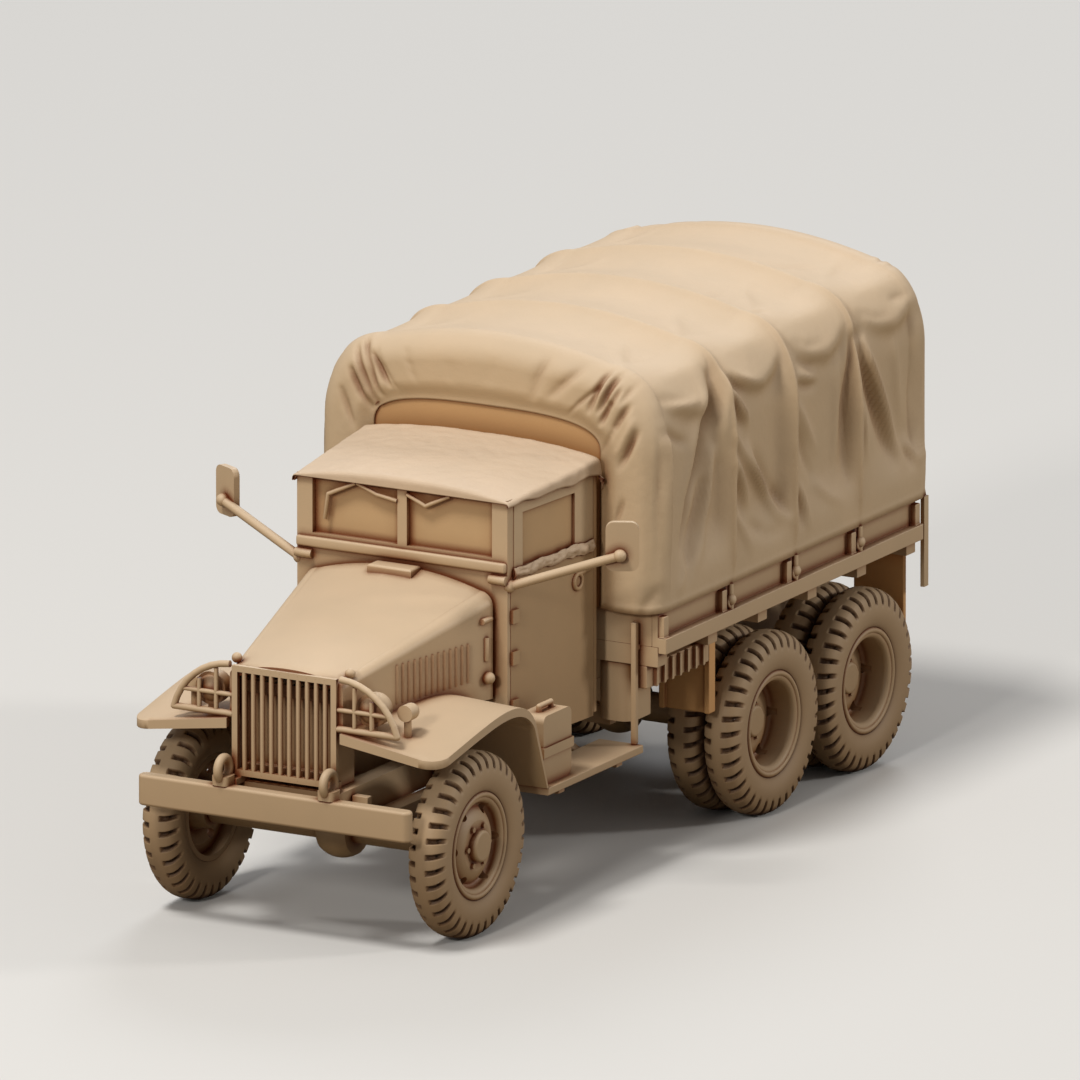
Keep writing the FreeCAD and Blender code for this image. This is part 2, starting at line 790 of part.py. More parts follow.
def buildRoof():
    # Canvas roof that laps over the tops of the side curtains and the back wall
    bottom = screenTop - valanceDrop
    frontTop = screenTop + roofRise
    rearTop = frontTop + roofSlope
    front = hoodSection(roofFront, cabHalfAt(roofFront) + roofLap, frontTop, frontTop - roofEdge, bottom)
    rear = hoodSection(roofRear, cabHalfAt(roofRear) + roofLap, rearTop, rearTop - roofEdge, bottom)
    roof = Part.makeLoft([front, rear], True, True)
    body = prismZ(cabPlan(0, roofFront - roofLap, cabRear), bottom - sheet, screenTop)
    save("cab_roof", [roof.cut(body)])


# Fenders, running boards and lamps
fenderOuter = 28.2
fenderFront = -16.0
fenderTail = 19.4
fenderSheet = 0.9
fenderCorner = 3.6
fenderLip = 1.5
fenderInnerLine = ((-16.0, 34.8), (-8.0, 35.7), (0.0, 36.4), (8.0, 36.6), (13.0, 35.4), (17.5, 32.0))
fenderOuterLine = ((-16.0, 32.0), (-8.0, 33.5), (0.0, 35.0), (6.0, 35.7), (11.6, 35.0), (15.4, 31.6))


def fenderWire(x, line, drop):
    curve = Part.BSplineCurve()
    curve.interpolate([vec(x, y, z - drop) for y, z in line])
    start = curve.StartPoint
    tail = vec(x, fenderTail, boardTop)
    base = vec(x, fenderTail, 0)
    corner = vec(x, start.y, 0)
    return Part.Wire([curve.toShape(), Part.makeLine(curve.EndPoint, tail), Part.makeLine(tail, base),
                      Part.makeLine(base, corner), Part.makeLine(corner, start)])


def fenderBody(drop, outset):
    inner = fenderWire(hoodFrontHalf - outset, fenderInnerLine, drop)
    outer = fenderWire(fenderOuter + outset, fenderOuterLine, drop)
    return Part.makeLoft([inner, outer], True, True)


def fenderPlan(inset):
    # Seen from above, the outer front corner is rounded
    x1 = fenderOuter - inset
    y0 = fenderFront + inset
    radius = fenderCorner - inset
    bend = (x1 - radius * arcShare, y0 + radius * arcShare)
    runs = [[(0, y0), (x1 - radius, y0)], [(x1 - radius, y0), bend, (x1, y0 + radius)],
            [(x1, y0 + radius), (x1, cabFront)], [(x1, cabFront), (0, cabFront)], [(0, cabFront), (0, y0)]]
    return Part.Face(wireOf(runs, lambda x, y: vec(x, y, 0))).extrude(vec(0, 0, beltHeight))


def buildFenders(hood):
    # A bent sheet with a deeper lip along its front and outer edges
    body = fenderBody(0, 0).common(fenderPlan(0))
    below = moved(fenderBody(fenderSheet, sheet), 0, -fenderSheet / 2, 0)
    skin = body.cut(below)
    lip = body.cut(fenderPlan(fenderSheet)).cut(fenderBody(fenderLip, sheet))
    skin = fuse([skin, lip])
    skin = skin.cut(box(0, fenderOuter + sheet, fenderFront - sheet, cabFront, 0, boardTop))
    skin = skin.cut(box(0, railOuter, fenderFront - sheet, cabFront, 0, railTop)).cut(hood)
    skin = largest(skin)
    save("fenders", pair(skin))
    return skin


bracketInset = 6.0
boardBracketDrop = 1.0


def buildBoards():
    board = box(cabHalf - sheet, fenderOuter, boardFront, boardRear, boardBottom, boardTop)
    arms = []
    low = boardBottom - boardBracketDrop
    for station in (boardFront + bracketInset, boardRear - bracketInset):
        outline = [(railOuter, railBottom), (railOuter, railTop - sheet), (railOuter + sheet, railTop - sheet),
                   (cabHalf, boardBottom), (cabHalf, low), (railOuter + sheet, low)]
        arms.append(prismY(outline, station - sheet, station + sheet))
        arms.append(box(cabHalf - sheet, fenderOuter - sheet, station - sheet, station + sheet, low, boardBottom))
    save("running_boards", pair(fuse([board] + arms)))


lampRadius = 2.7
lampDepth = 1.6
lampPitch = 14.6
lampFront = -13.6
lampHeight = 38.6
stalkRadius = 0.75
podRadius = 1.35
podLength = 2.0
podPitch = 19.4
podFront = -11.2
podHeight = 38.2
podStalk = 0.6
lampGuardStation = -15.2
lampGuardOuter = 20.3
guardBendShare = 0.86
lampGuardDrop = 3.2
lampGuardBottom = 35.4
lampGuardPitch = 3.1
lampBar = 0.55
thinBar = 0.38
hoopPoints = 9
guardBarDrops = (1.0, 3.0)


def lampOn(x, front, height, radius, depth, stalk):
    bucket = Part.makeCylinder(radius, depth, vec(x, front, height), vec(0, 1, 0))
    dome = Part.makeSphere(radius, vec(x, front + depth, height))
    middle = front + depth / 2
    leg = rod(vec(x, middle, fenderOuterLine[0][1]), vec(x, middle, height), stalk)
    return fuse([bucket, dome, leg])


def buildLamps(fender, hood):
    lamp = lampOn(lampPitch, lampFront, lampHeight, lampRadius, lampDepth, stalkRadius).cut(fender).cut(hood)
    pod = lampOn(podPitch, podFront, podHeight, podRadius, podLength, podStalk).cut(fender)
    save("headlamps", pair(largest(lamp)))
    save("marker_lamps", pair(largest(pod)))


def buildLampGuards(fender, hood):
    y = lampGuardStation
    top = vec(guardHalf + lampBar, y, guardTop)
    bend = vec(lampGuardOuter * guardBendShare, y, guardTop - lampGuardDrop)
    end = vec(lampGuardOuter, y, lampGuardBottom)
    hoop = bentRod(Part.Arc(top, bend, end).toShape().discretize(hoopPoints), lampBar)
    shelf = lampGuardBottom + lampGuardPitch
    bars = [rod(vec(guardHalf, y, lampGuardBottom), end, lampBar),
            rod(vec(guardHalf, y, shelf), vec(lampGuardOuter - sheet, y, shelf), thinBar)]
    for i, drop in enumerate(guardBarDrops):
        x = guardHalf + lampGuardPitch * (i + 1)
        bars.append(rod(vec(x, y, lampGuardBottom), vec(x, y, guardTop - drop), thinBar))
    solid = fuse([hoop, Part.makeSphere(lampBar, end)] + bars).cut(fender).cut(hood)
    save("lamp_guards", pair(largest(solid)))


mirrorRootDrop = 1.4
mirrorRootStation = 22.8
mirrorReach = 36.3
mirrorStation = 28.7
mirrorLift = 5.9
mirrorHeight = beltHeight + mirrorLift
mirrorArm = 0.75
mirrorHold = 1.3
mirrorKnob = 1.05
mirrorHalf = 2.65
mirrorRise = 4.0
mirrorDepth = 1.1
mirrorCorner = 1.3
mirrorTurn = 27.5


def buildMirrors(cowl, door, screen):
    root = vec(cabFrontHalf, mirrorRootStation, beltHeight - mirrorRootDrop)
    centre = vec(mirrorReach, mirrorStation, mirrorHeight)
    hold = centre - vec(0, mirrorArm, mirrorHold)
    arm = bentRod([root, hold], mirrorArm)
    head = box(-mirrorHalf, mirrorHalf, 0, mirrorDepth, -mirrorRise, mirrorRise)
    head = head.makeFillet(mirrorCorner, [e for e in head.Edges if e.BoundBox.YLength > mirrorDepth / 2])
    head.rotate(vec(0, 0, 0), vec(0, 0, 1), mirrorTurn)
    head.translate(centre)
    solid = fuse([arm, Part.makeSphere(mirrorKnob, hold), head, Part.makeSphere(mirrorKnob, root)])
    save("mirrors", pair(largest(solid.cut(cowl).cut(door).cut(screen))))


canInner = 22.2
canOuter = 26.8
canFront = 20.2
canRear = 29.2
canTop = 31.4
canCorner = 1.2
strapDepth = 0.3
strapRise = 4.5
strapWidth = 1.6
canHandleRod = 0.45
canHandleRise = 0.9
canHandleInset = 2.6


def buildCan():
    can = box(canInner, canOuter, canFront, canRear, boardTop, canTop)
    can = can.makeFillet(canCorner, [e for e in can.Edges if e.BoundBox.XLength > sheet])
    strap = box(canInner - strapDepth, canOuter + strapDepth, canFront - strapDepth, canRear + strapDepth,
                boardTop + strapRise, boardTop + strapRise + strapWidth)
    middle = (canInner + canOuter) / 2
    top = canTop + canHandleRise
    run = [vec(middle, canFront + canHandleInset, canTop), vec(middle, canFront + canHandleInset, top),
           vec(middle, canRear - canHandleInset, top), vec(middle, canRear - canHandleInset, canTop)]
    save("jerrycan", [fuse([can, strap, bentRod(run, canHandleRod)])])


# Cargo bed
deckRise = 0.3
deckGap = 0.2
railSideDepth = 1.5
railSideHalf = bedHalf + railSideDepth
bedBoardThickness = 1.1
sillHalf = 8.6
sillWidth = 2.4
crossSills = 6
postInset = 0.2
postLead = 2.8
postWidth = 1.5
postDepth = 1.0
postTopGap = 0.6


def buildBedFloor():
    inner = bedHalf - bedBoardThickness
    base = bedFloorTop - deckRise
    edge = bedBoardThickness + deckGap
    floor = box(-bedHalf, bedHalf, bedFront, bedRear, bedFloorBottom, base)
    deck = box(-inner + deckGap, inner - deckGap, bedFront + edge, bedRear - edge, base, bedFloorTop)
    sills = pair(box(sillHalf, sillHalf + sillWidth, bedFront, bedRear, railTop, crossSillBottom))
    cross = []
    for i in range(crossSills):
        y = bedFront + crossWidth / 2 + (bedRear - bedFront - crossWidth) * i / (crossSills - 1)
        cross.append(box(-bedHalf, bedHalf, y - crossWidth / 2, y + crossWidth / 2, crossSillBottom, bedFloorBottom))
    save("bed_floor", [fuse([floor, deck] + sills + cross)])


def buildBedSides():
    inner = bedHalf - bedBoardThickness
    base = bedFloorTop - deckRise
    rail = box(bedHalf, railSideHalf, bedFront, bedRear, bedFloorBottom, bedRailTop)
    board = box(bedHalf - bedBoardThickness, bedHalf, bedFront, bedRear, base, bedBoardTop)
    posts = []
    stations = [bedFront + postInset] + [bowStation(i) - postLead for i in range(1, bowCount)]
    for y in stations:
        posts.append(box(bedHalf, bedHalf + postDepth, y, y + postWidth, bedRailTop, tarpBottom - postTopGap))
    save("bed_sides", pair(fuse([rail, board] + posts)))
    save("headboard", [box(-inner, inner, bedFront, bedFront + bedBoardThickness, base, bedBoardTop)])
    save("tailgate", [box(-inner, inner, bedRear - bedBoardThickness, bedRear, base, bedBoardTop)])


# Canvas cover
tarpSide = 25.0
tarpShoulder = tarpBottom + tarpSide
tarpCornerWidth = 10.0
tarpCornerHeight = 14.0
tarpCrown = 3.1
tarpCrest = tarpShoulder + tarpCornerHeight + tarpCrown
tarpSag = 1.3
tarpHollow = 1.6
hollowShares = ((0.2, 0.2), (0.5, 1.0), (0.8, 1.0))
cornerHollowShares = (0.9, 0.6, 0.05, 0.0, 0.0, 0.0)
frontInsets = ((0.0, 2.6, 2.6), (0.5, 1.4, 1.4), (1.4, 0.45, 0.5), (3.2, 0.0, 0.0))
rearInsets = ((0.0, 2.0, 4.4), (0.5, 1.1, 3.1), (1.4, 0.4, 1.9), (3.0, 0.0, 0.8), (4.6, 0.0, 0.0))
bowLead = 3.2
rearBowLead = 4.6
ridgeHalfWidth = 0.7
ridgeFoot = 2.6
ridgeFootShare = 0.6
crownSteps = 4
archHalf = 20.7
archDrop = 11.6
archCorner = 5.5
archTop = tarpCrest - archDrop


def bowStation(i):
    first = tarpFront + bowLead
    return first + (tarpRear - rearBowLead - first) * i / (bowCount - 1)


def tarpOutline(station, inset, fall, slack, bottom):
    # At a bow the section is full; between bows the roof sags and the sides hang hollow below a fold
    half = tarpHalf - inset
    drop = fall + tarpSag * slack
    shoulderZ = tarpShoulder - drop
    browX = tarpHalf - tarpCornerWidth - inset / 2
    browZ = shoulderZ + tarpCornerHeight
    side = [(half, bottom)]
    for rise, deep in hollowShares:
        side.append((half - tarpHollow * slack * deep, tarpBottom + (shoulderZ - tarpBottom) * rise))
    for k, deep in enumerate(cornerHollowShares):
        angle = math.pi / 2 * k / len(cornerHollowShares)
        across = (half - browX) * math.cos(angle) - tarpHollow * slack * deep
        side.append((browX + across, shoulderZ + tarpCornerHeight * math.sin(angle)))
    for k in range(crownSteps):
        share = 1 - k / crownSteps
        side.append((browX * share, browZ + tarpCrown * (1 - share * share)))
    right = [vec(x, station, z) for x, z in side]
    crest = vec(0, station, browZ + tarpCrown)
    return right + [crest] + [vec(-x, station, z) for x, z in side[::-1]]


def tarpStations():
    # Each row is a station, how far the sides are drawn in there, how far the top falls, and the slack
    rows = [(tarpFront + step, inset, fall, 0) for step, inset, fall in frontInsets]
    for i in range(bowCount - 1):
        here = bowStation(i)
        there = bowStation(i + 1)
        if i:
            rows += [(here - ridgeHalfWidth, 0, 0, 0), (here + ridgeHalfWidth, 0, 0, 0)]
        rows.append((here + ridgeFoot, 0, 0, ridgeFootShare))
        rows.append(((here + there) / 2, 0, 0, 1))
        rows.append((there - ridgeFoot, 0, 0, ridgeFootShare))
    return rows + [(tarpRear - step, inset, fall, 0) for step, inset, fall in rearInsets[::-1]]


def tarpLoft(thickness, bottom):
    # Triangles join each section to the next one, and the end sections close the form
    outlines = [tarpOutline(y, inset + thickness, fall + thickness, slack, bottom)
                for y, inset, fall, slack in tarpStations()]
    facets = [outlines[0], outlines[-1]]
    for near, far in zip(outlines, outlines[1:]):
        for i in range(len(near)):
            facets += [[near[i - 1], near[i], far[i]], [near[i - 1], far[i], far[i - 1]]]
    return facetedSolid(facets)


def archCutter(y0, y1, grow):
    half = archHalf + grow
    top = archTop + grow
    low = top - archCorner
    near = half - archCorner
    bend = archCorner * arcShare
    runs = [[(half, 0), (half, low)], [(half, low), (half - bend, top - bend), (near, top)],
            [(near, top), (-near, top)], [(-near, top), (-half + bend, top - bend), (-half, low)],
            [(-half, low), (-half, 0)], [(-half, 0), (half, 0)]]
    return Part.Face(wireOf(runs, lambda x, z: vec(x, y0, z))).extrude(vec(0, y1 - y0, 0))


def buildTarp():
    inside = tarpLoft(tarpSheet, tarpBottom - sheet)
    room = box(-tarpHalf, tarpHalf, tarpFront + tarpSheet, tarpRear - tarpSheet, 0, tarpCrest)
    shell = tarpLoft(0, tarpBottom).cut(inside.common(room))
    shell = shell.cut(archCutter(tarpFront - sheet, tarpFront + tarpSheet + sheet, 0))
    shell = shell.cut(archCutter(tarpRear - tarpSheet - sheet, tarpRear + sheet, 0))
    shell = shell.cut(box(-bedHalf, bedHalf, bedFront, bedRear, 0, bedBoardTop))
    save("tarp", [largest(shell.removeSplitter())])
    wall = archCutter(tarpFront + tarpSheet, bedFront, sheet)
    save("front_curtain", [wall.cut(box(-tarpHalf, tarpHalf, tarpFront, bedRear, 0, tarpBottom))])


bowWidth = 1.2
bowDepth = 1.2
bowGap = 0.35
bowFootRise = 2.0


def bowOutline(station, inset):
    face = closedFace(tarpOutline(station - bowWidth / 2, inset, inset, 0, tarpBottom))
    return face.extrude(vec(0, bowWidth, 0))


def buildBows():
    bows = []
    board = box(bedHalf - bedBoardThickness, bedHalf, bedFront, bedRear, 0, bedBoardTop)
    foot = tarpHalf - tarpSheet - bowGap - bowDepth
    for i in range(1, bowCount - 1):
        y = bowStation(i)
        bow = bowOutline(y, tarpSheet + bowGap).cut(bowOutline(y, tarpSheet + bowGap + bowDepth))
        bow = bow.cut(box(-foot, foot, y - bowWidth, y + bowWidth, 0, tarpBottom + bowFootRise))
        bows.append(largest(bow.cut(board).cut(mirrored(board))))
    save("bows", bows)


tieRadius = 0.5
tieKnotShare = 0.366
tieKnotRadius = 0.95
tieClear = 2.4
hookRing = 0.8
hookRingRod = 0.32
strapBottomDrop = 15.0
strapLap = 3.6
strapHalfWidth = 0.7
strapThickness = 0.7


def buildTies():
    ties = []
    for i in range(1, bowCount - 1):
        y = bowStation(i)
        rope = rod(vec(tarpHalf, y, bedRailTop), vec(tarpHalf, y, tarpBottom), tieRadius)
        knot = Part.makeSphere(tieKnotRadius, vec(tarpHalf, y, bedRailTop + (tarpBottom - bedRailTop) * tieKnotShare))
        ring = Part.makeTorus(hookRing, hookRingRod, vec(tarpHalf, y, bedRailTop + hookRing + hookRingRod), vec(1, 0, 0))
        solid = fuse([rope, knot, ring])
        ties += pair(solid.cut(box(0, bedHalf, y - tieClear, y + tieClear, 0, tarpBottom)))
    y = tarpRear - strapLap
    strap = box(tarpHalf - strapThickness, tarpHalf, y - strapHalfWidth, y + strapHalfWidth,
                tarpBottom - strapBottomDrop, tarpBottom)
    save("tie_ropes", ties + pair(strap))


# Lockers, tanks, flaps and posts under the bed
lockerInner = 25.6
lockerOuter = 28.4
lockerShare = 0.867
lockerRear = bedFront + bogieSpace * lockerShare
lockerBottom = 29.2
lockerRibs = 7
ribHalf = 0.3
ribProud = 0.6
tankInner = 18.4
tankOuter = 24.8
tankShare = 0.395
tankGap = 1.0
tankRear = bedFront + bogieSpace * tankShare
tankBottom = 23.0
tankCornerShare = 0.268
tankStrapStartShare = 0.366
tankStrapWidthShare = 0.244
flapInner = 19.0
flapOuter = 28.2
flapThickness = 1.0
flapBar = 2.0
frontFlapShare = 0.927
frontFlapStation = bedFront + bogieSpace * frontFlapShare
flapBottom = 20.3
rearFlapBottom = 20.0
postPitch = 26.8
postTop = 40.4
stepPostSide = 1.0


def buildLockers():
    locker = box(lockerInner, lockerOuter, bedFront, lockerRear, lockerBottom, crossSillBottom)
    ribs = []
    for i in range(lockerRibs):
        y = bedFront + (lockerRear - bedFront) * (i + 1) / (lockerRibs + 1)
        ribs.append(box(lockerOuter, lockerOuter + ribProud, y - ribHalf, y + ribHalf, lockerBottom, crossSillBottom))
    save("side_lockers", pair(fuse([locker] + ribs)))
    front = bedFront + tankGap
    tank = box(tankInner, tankOuter, front, tankRear, tankBottom, crossSillBottom)
    length = tankRear - front
    corner = length * tankCornerShare
    tank = tank.makeFillet(corner, [e for e in tank.Edges if e.BoundBox.ZLength > corner])
    start = front + length * tankStrapStartShare
    end = start + length * tankStrapWidthShare
    strap = box(railOuter, tankInner + sheet, start, end, railBottom + sheet, railTop - sheet)
    save("side_tanks", pair(fuse([tank, strap])))


def buildFlaps():
    y = frontFlapStation
    flap = box(flapInner, flapOuter, y - flapThickness / 2, y + flapThickness / 2, flapBottom, crossSillBottom)
    bars = [box(x, x + flapThickness, y - flapBar / 2, y + flapBar / 2, flapBottom, crossSillBottom)
            for x in (flapInner, flapOuter - flapThickness)]
    rear = box(flapInner, flapOuter, bedRear, bedRear + flapThickness, rearFlapBottom, bedFloorTop)
    save("mud_flaps", pair(fuse([flap] + bars)) + pair(rear))
    x0 = postPitch - stepPostSide / 2
    x1 = postPitch + stepPostSide / 2
    post = box(x0, x1, boardRear - stepPostSide, boardRear, boardTop, postTop)
    stay = box(x0, x1, boardRear, bedFront, bedFloorTop - stepPostSide, bedFloorTop)
    save("step_posts", pair(fuse([post, stay])))


# Engine, gearbox and shafts
engineHalf = 5.0
engineFront = -7.0
engineRear = 17.0
engineTop = 41.0
sumpTop = 22.5
sumpBottom = 21.4
sumpInset = 4.0
mountStart = 3.0
mountLength = 3.0
mountDepth = 2.0
gearHeight = 21.4
bellRadius = 3.7
bellLength = 9.2
transferHalf = 5.0
transferFront = 42.0
transferRear = 54.0
transferDrop = 3.0
hangerWidth = 2.0
shaftRadius = 0.9
shaftDrop = 2.0


def buildDriveline(front, mid):
    block = box(-engineHalf, engineHalf, engineFront, engineRear, sumpTop, engineTop)
    sump = prismX([(engineFront, sumpTop), (engineRear, sumpTop), (engineRear - sumpInset, sumpBottom),
                   (engineFront + sumpInset, sumpBottom)], -engineHalf + sheet, engineHalf - sheet)
    bell = rod(vec(0, engineRear, gearHeight), vec(0, engineRear + bellLength, gearHeight), bellRadius)
    start = engineFront + mountStart
    high = railTop - railWeb
    mount = box(-railInner, railInner, start, start + mountLength, high - mountDepth, high)
    reach = railInner + sheet
    end = engineRear - sheet
    wings = box(-reach, reach, end - mountLength, end, railBottom + railWeb, high)
    save("engine", [fuse([block, sump, bell, mount, wings])])
    case = box(-transferHalf, transferHalf, transferFront, transferRear, railBottom - transferDrop, railTop - sheet)
    start = transferFront + sheet
    hanger = box(-reach, reach, start, start + hangerWidth, railBottom + railWeb, high)
    save("transfer_case", [fuse([case, hanger])])
    shaftHeight = railBottom - shaftDrop
    nose = vec(differentialOffset, differentialRadius + noseLength, tyreRadius)
    rearNose = vec(differentialOffset, midStation - differentialRadius, tyreRadius)
    shafts = [rod(nose, vec(differentialOffset, transferFront, shaftHeight), shaftRadius),
              rod(vec(differentialOffset, transferRear, shaftHeight), rearNose, shaftRadius)]
    save("prop_shafts", [shaft.cut(case).cut(front).cut(mid) for shaft in shafts])


# Towing eye
hitchReach = 1.4
eyeRadius = 2.3
eyeBore = 1.1
eyeThickness = 1.5


def buildHitch():
    middle = (railBottom + railTop) / 2
    eyeStation = bedRear + hitchReach - eyeRadius
    low = middle - eyeThickness / 2
    beam = box(-railOuter, railOuter, railRear, railRear + sheet, railBottom, railTop)
    plate = box(-eyeRadius, eyeRadius, railRear, eyeStation, low, low + eyeThickness)
    eye = Part.makeCylinder(eyeRadius, eyeThickness, vec(0, eyeStation, low))
    bore = Part.makeCylinder(eyeBore, eyeThickness, vec(0, eyeStation, low))
    save("rear_hook", [fuse([beam, plate, eye]).cut(bore)])


frontInnerX, twinInnerX = buildWheels()
frontAxle, midAxle, rearAxle = buildAxles(frontInnerX, twinInnerX)
buildFrontSprings(frontAxle)
buildRearSprings(midAxle, rearAxle)
buildFrame()
buildBumper()
buildHooks()
hoodSolid = buildHood()
buildGrille(hoodSolid)
cowlSolid = buildCowl()
buildCab()
doorSolid = buildDoors()
screenSolid = buildScreen(cowlSolid)
buildCurtains()
buildRoof()
fenderSolid = buildFenders(hoodSolid)
buildBoards()
buildLamps(fenderSolid, hoodSolid)
buildLampGuards(fenderSolid, hoodSolid)
buildMirrors(cowlSolid, doorSolid, screenSolid)
buildCan()
buildBedFloor()
buildBedSides()
buildTarp()
buildBows()
buildTies()
buildLockers()
buildFlaps()
buildDriveline(frontAxle, midAxle)
buildHitch()
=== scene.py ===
# Looks of a printed scale model of a 1940s military cargo truck. Lengths are metres, and millimetres
# in the settings of the cover, the cab cloths, the ledge and the tyres.
import bpy
import bmesh
import math
import numpy as np
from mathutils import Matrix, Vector, noise


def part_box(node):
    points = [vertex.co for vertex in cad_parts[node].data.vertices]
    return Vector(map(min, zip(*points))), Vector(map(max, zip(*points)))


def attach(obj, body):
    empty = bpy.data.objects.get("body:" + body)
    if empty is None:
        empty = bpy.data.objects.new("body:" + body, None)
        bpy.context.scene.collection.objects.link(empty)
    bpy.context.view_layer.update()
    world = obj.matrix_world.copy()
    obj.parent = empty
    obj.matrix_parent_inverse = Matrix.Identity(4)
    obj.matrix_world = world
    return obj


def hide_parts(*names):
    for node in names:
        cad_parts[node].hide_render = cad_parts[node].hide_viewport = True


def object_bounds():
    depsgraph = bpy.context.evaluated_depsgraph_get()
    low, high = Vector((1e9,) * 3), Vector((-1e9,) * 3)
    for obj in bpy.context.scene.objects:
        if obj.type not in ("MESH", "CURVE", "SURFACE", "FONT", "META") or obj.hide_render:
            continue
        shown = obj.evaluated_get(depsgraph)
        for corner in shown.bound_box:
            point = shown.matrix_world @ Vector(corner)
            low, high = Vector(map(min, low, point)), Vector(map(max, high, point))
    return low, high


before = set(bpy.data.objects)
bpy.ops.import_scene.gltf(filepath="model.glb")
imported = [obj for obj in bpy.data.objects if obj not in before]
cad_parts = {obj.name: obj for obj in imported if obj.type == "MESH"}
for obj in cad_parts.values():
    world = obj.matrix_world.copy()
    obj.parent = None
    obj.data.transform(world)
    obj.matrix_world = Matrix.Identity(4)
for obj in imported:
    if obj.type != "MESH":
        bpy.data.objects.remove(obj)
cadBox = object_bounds()
millimetre = 0.001

# View of the photograph: direction round from the front, height and the point aimed at
viewSettings = {
    "turnDegrees": 29.5,
    "riseDegrees": 14.46,
    "aim": Vector((0.00192, 0.00284, 0.04765)),
    "distance": 5.7,
    "frameWidth": 0.1724,
    "sensor": 36.0,
}

studio = {
    "world": (0.88, 0.85, 0.82),
    "worldStrength": 0.28,
    "floor": (0.68, 0.675, 0.665),
    "floorBounce": (0.26, 0.23, 0.20),
    "floorHalf": 12.0,
    "floorDrop": 0.00002,
    # Each light: where it stands, what it points at, its size, its power and its colour
    "lights": {
        "keyLight": ((-0.20, -0.72, 1.48), (0, 0, 0.04), 0.40, 16.4, (1.0, 0.97, 0.92)),
        "frontLight": ((0.12, -1.70, 0.80), (0, 0, 0.05), 0.28, 10.4, (1.0, 0.96, 0.90)),
        "sideLight": ((1.56, 1.00, 0.64), (0, 0, 0.05), 0.28, 11.6, (1.0, 0.97, 0.92)),
        "rearLight": ((-0.50, 1.40, 1.05), (0, 0, 0.06), 0.60, 8.8, (0.94, 0.97, 1.0)),
    },
}


def makeCamera():
    turn = math.radians(viewSettings["turnDegrees"])
    rise = math.radians(viewSettings["riseDegrees"])
    back = Vector((math.sin(turn) * math.cos(rise), -math.cos(turn) * math.cos(rise), math.sin(rise)))
    data = bpy.data.cameras.new("camera")
    data.sensor_width = viewSettings["sensor"]
    data.lens = viewSettings["sensor"] * viewSettings["distance"] / viewSettings["frameWidth"]
    data.clip_start = 0.1
    data.clip_end = 100.0
    camera = bpy.data.objects.new("camera", data)
    bpy.context.scene.collection.objects.link(camera)
    camera.location = viewSettings["aim"] + back * viewSettings["distance"]
    camera.rotation_euler = back.to_track_quat("Z", "Y").to_euler()
    bpy.context.scene.camera = camera


def makeLight(name, place, aim, size, power, colour):
    data = bpy.data.lights.new(name, "AREA")
    data.shape = "DISK"
    data.size = size
    data.energy = power
    data.color = colour
    lamp = bpy.data.objects.new(name, data)
    bpy.context.scene.collection.objects.link(lamp)
    lamp.location = place
    lamp.rotation_euler = (Vector(place) - Vector(aim)).to_track_quat("Z", "Y").to_euler()


def makeStudio():
    scene = bpy.context.scene
    scene.view_settings.view_transform = "Standard"
    world = bpy.data.worlds.new("studio")
    scene.world = world
    world.use_nodes = True
    background = world.node_tree.nodes["Background"]
    background.inputs["Color"].default_value = (*studio["world"], 1)
    background.inputs["Strength"].default_value = studio["worldStrength"]
    for name, settings in studio["lights"].items():
        makeLight(name, *settings)
    half = studio["floorHalf"]
    mesh = bpy.data.meshes.new("floor")
    bm = bmesh.new()
    bmesh.ops.create_grid(bm, x_segments=1, y_segments=1, size=half)
    bm.to_mesh(mesh)
    bm.free()
    floor = bpy.data.objects.new("floor", mesh)
    scene.collection.objects.link(floor)
    floor.location.z = cadBox[0][2] - studio["floorDrop"]
    material, shader = newMaterial("floorFinish")
    seen = addNode(material, "ShaderNodeLightPath").outputs["Is Camera Ray"]
    colour = mixColours(material, seen, studio["floorBounce"], studio["floor"])
    material.node_tree.links.new(colour, shader.inputs["Base Color"])
    shader.inputs["Roughness"].default_value = 1.0
    shader.inputs["Specular IOR Level"].default_value = 0.0
    floor.data.materials.append(material)


# Materials
def newMaterial(name):
    material = bpy.data.materials.new(name)
    material.use_nodes = True
    return material, material.node_tree.nodes["Principled BSDF"]


def addNode(material, kind, settings=(), links=()):
    node = material.node_tree.nodes.new(kind)
    for key, value in dict(settings).items():
        if isinstance(key, str) and hasattr(node, key):
            setattr(node, key, value)
        else:
            node.inputs[key].default_value = value
    for key, source in dict(links).items():
        material.node_tree.links.new(source, node.inputs[key])
    return node


def mixColours(material, factor, first, second, blend="MIX"):
    node = addNode(material, "ShaderNodeMix", {"data_type": "RGBA", "blend_type": blend})
    for index, value in ((0, factor), (6, first), (7, second)):
        if isinstance(value, (tuple, float)):
            node.inputs[index].default_value = (*value, 1) if isinstance(value, tuple) else value
        else:
            material.node_tree.links.new(value, node.inputs[index])
    return node.outputs[2]


def ramp(material, source, low, high):
    node = addNode(material, "ShaderNodeMapRange", {1: low, 2: high, "clamp": True}, {0: source})
    return node.outputs[0]


def openness(material, samples, reach):
    # How open a place is, from 0 deep in a recess to 1
    node = addNode(material, "ShaderNodeAmbientOcclusion", {"samples": samples, "Distance": reach})
    return node.outputs["AO"]


def noiseOf(material, place, scale, detail=3.0, stretch=None):
    if stretch:
        place = addNode(material, "ShaderNodeMapping", {"Scale": stretch}, {"Vector": place}).outputs[0]
    node = addNode(material, "ShaderNodeTexNoise", {"Scale": scale, "Detail": detail}, {"Vector": place})
    return node.outputs["Fac"]


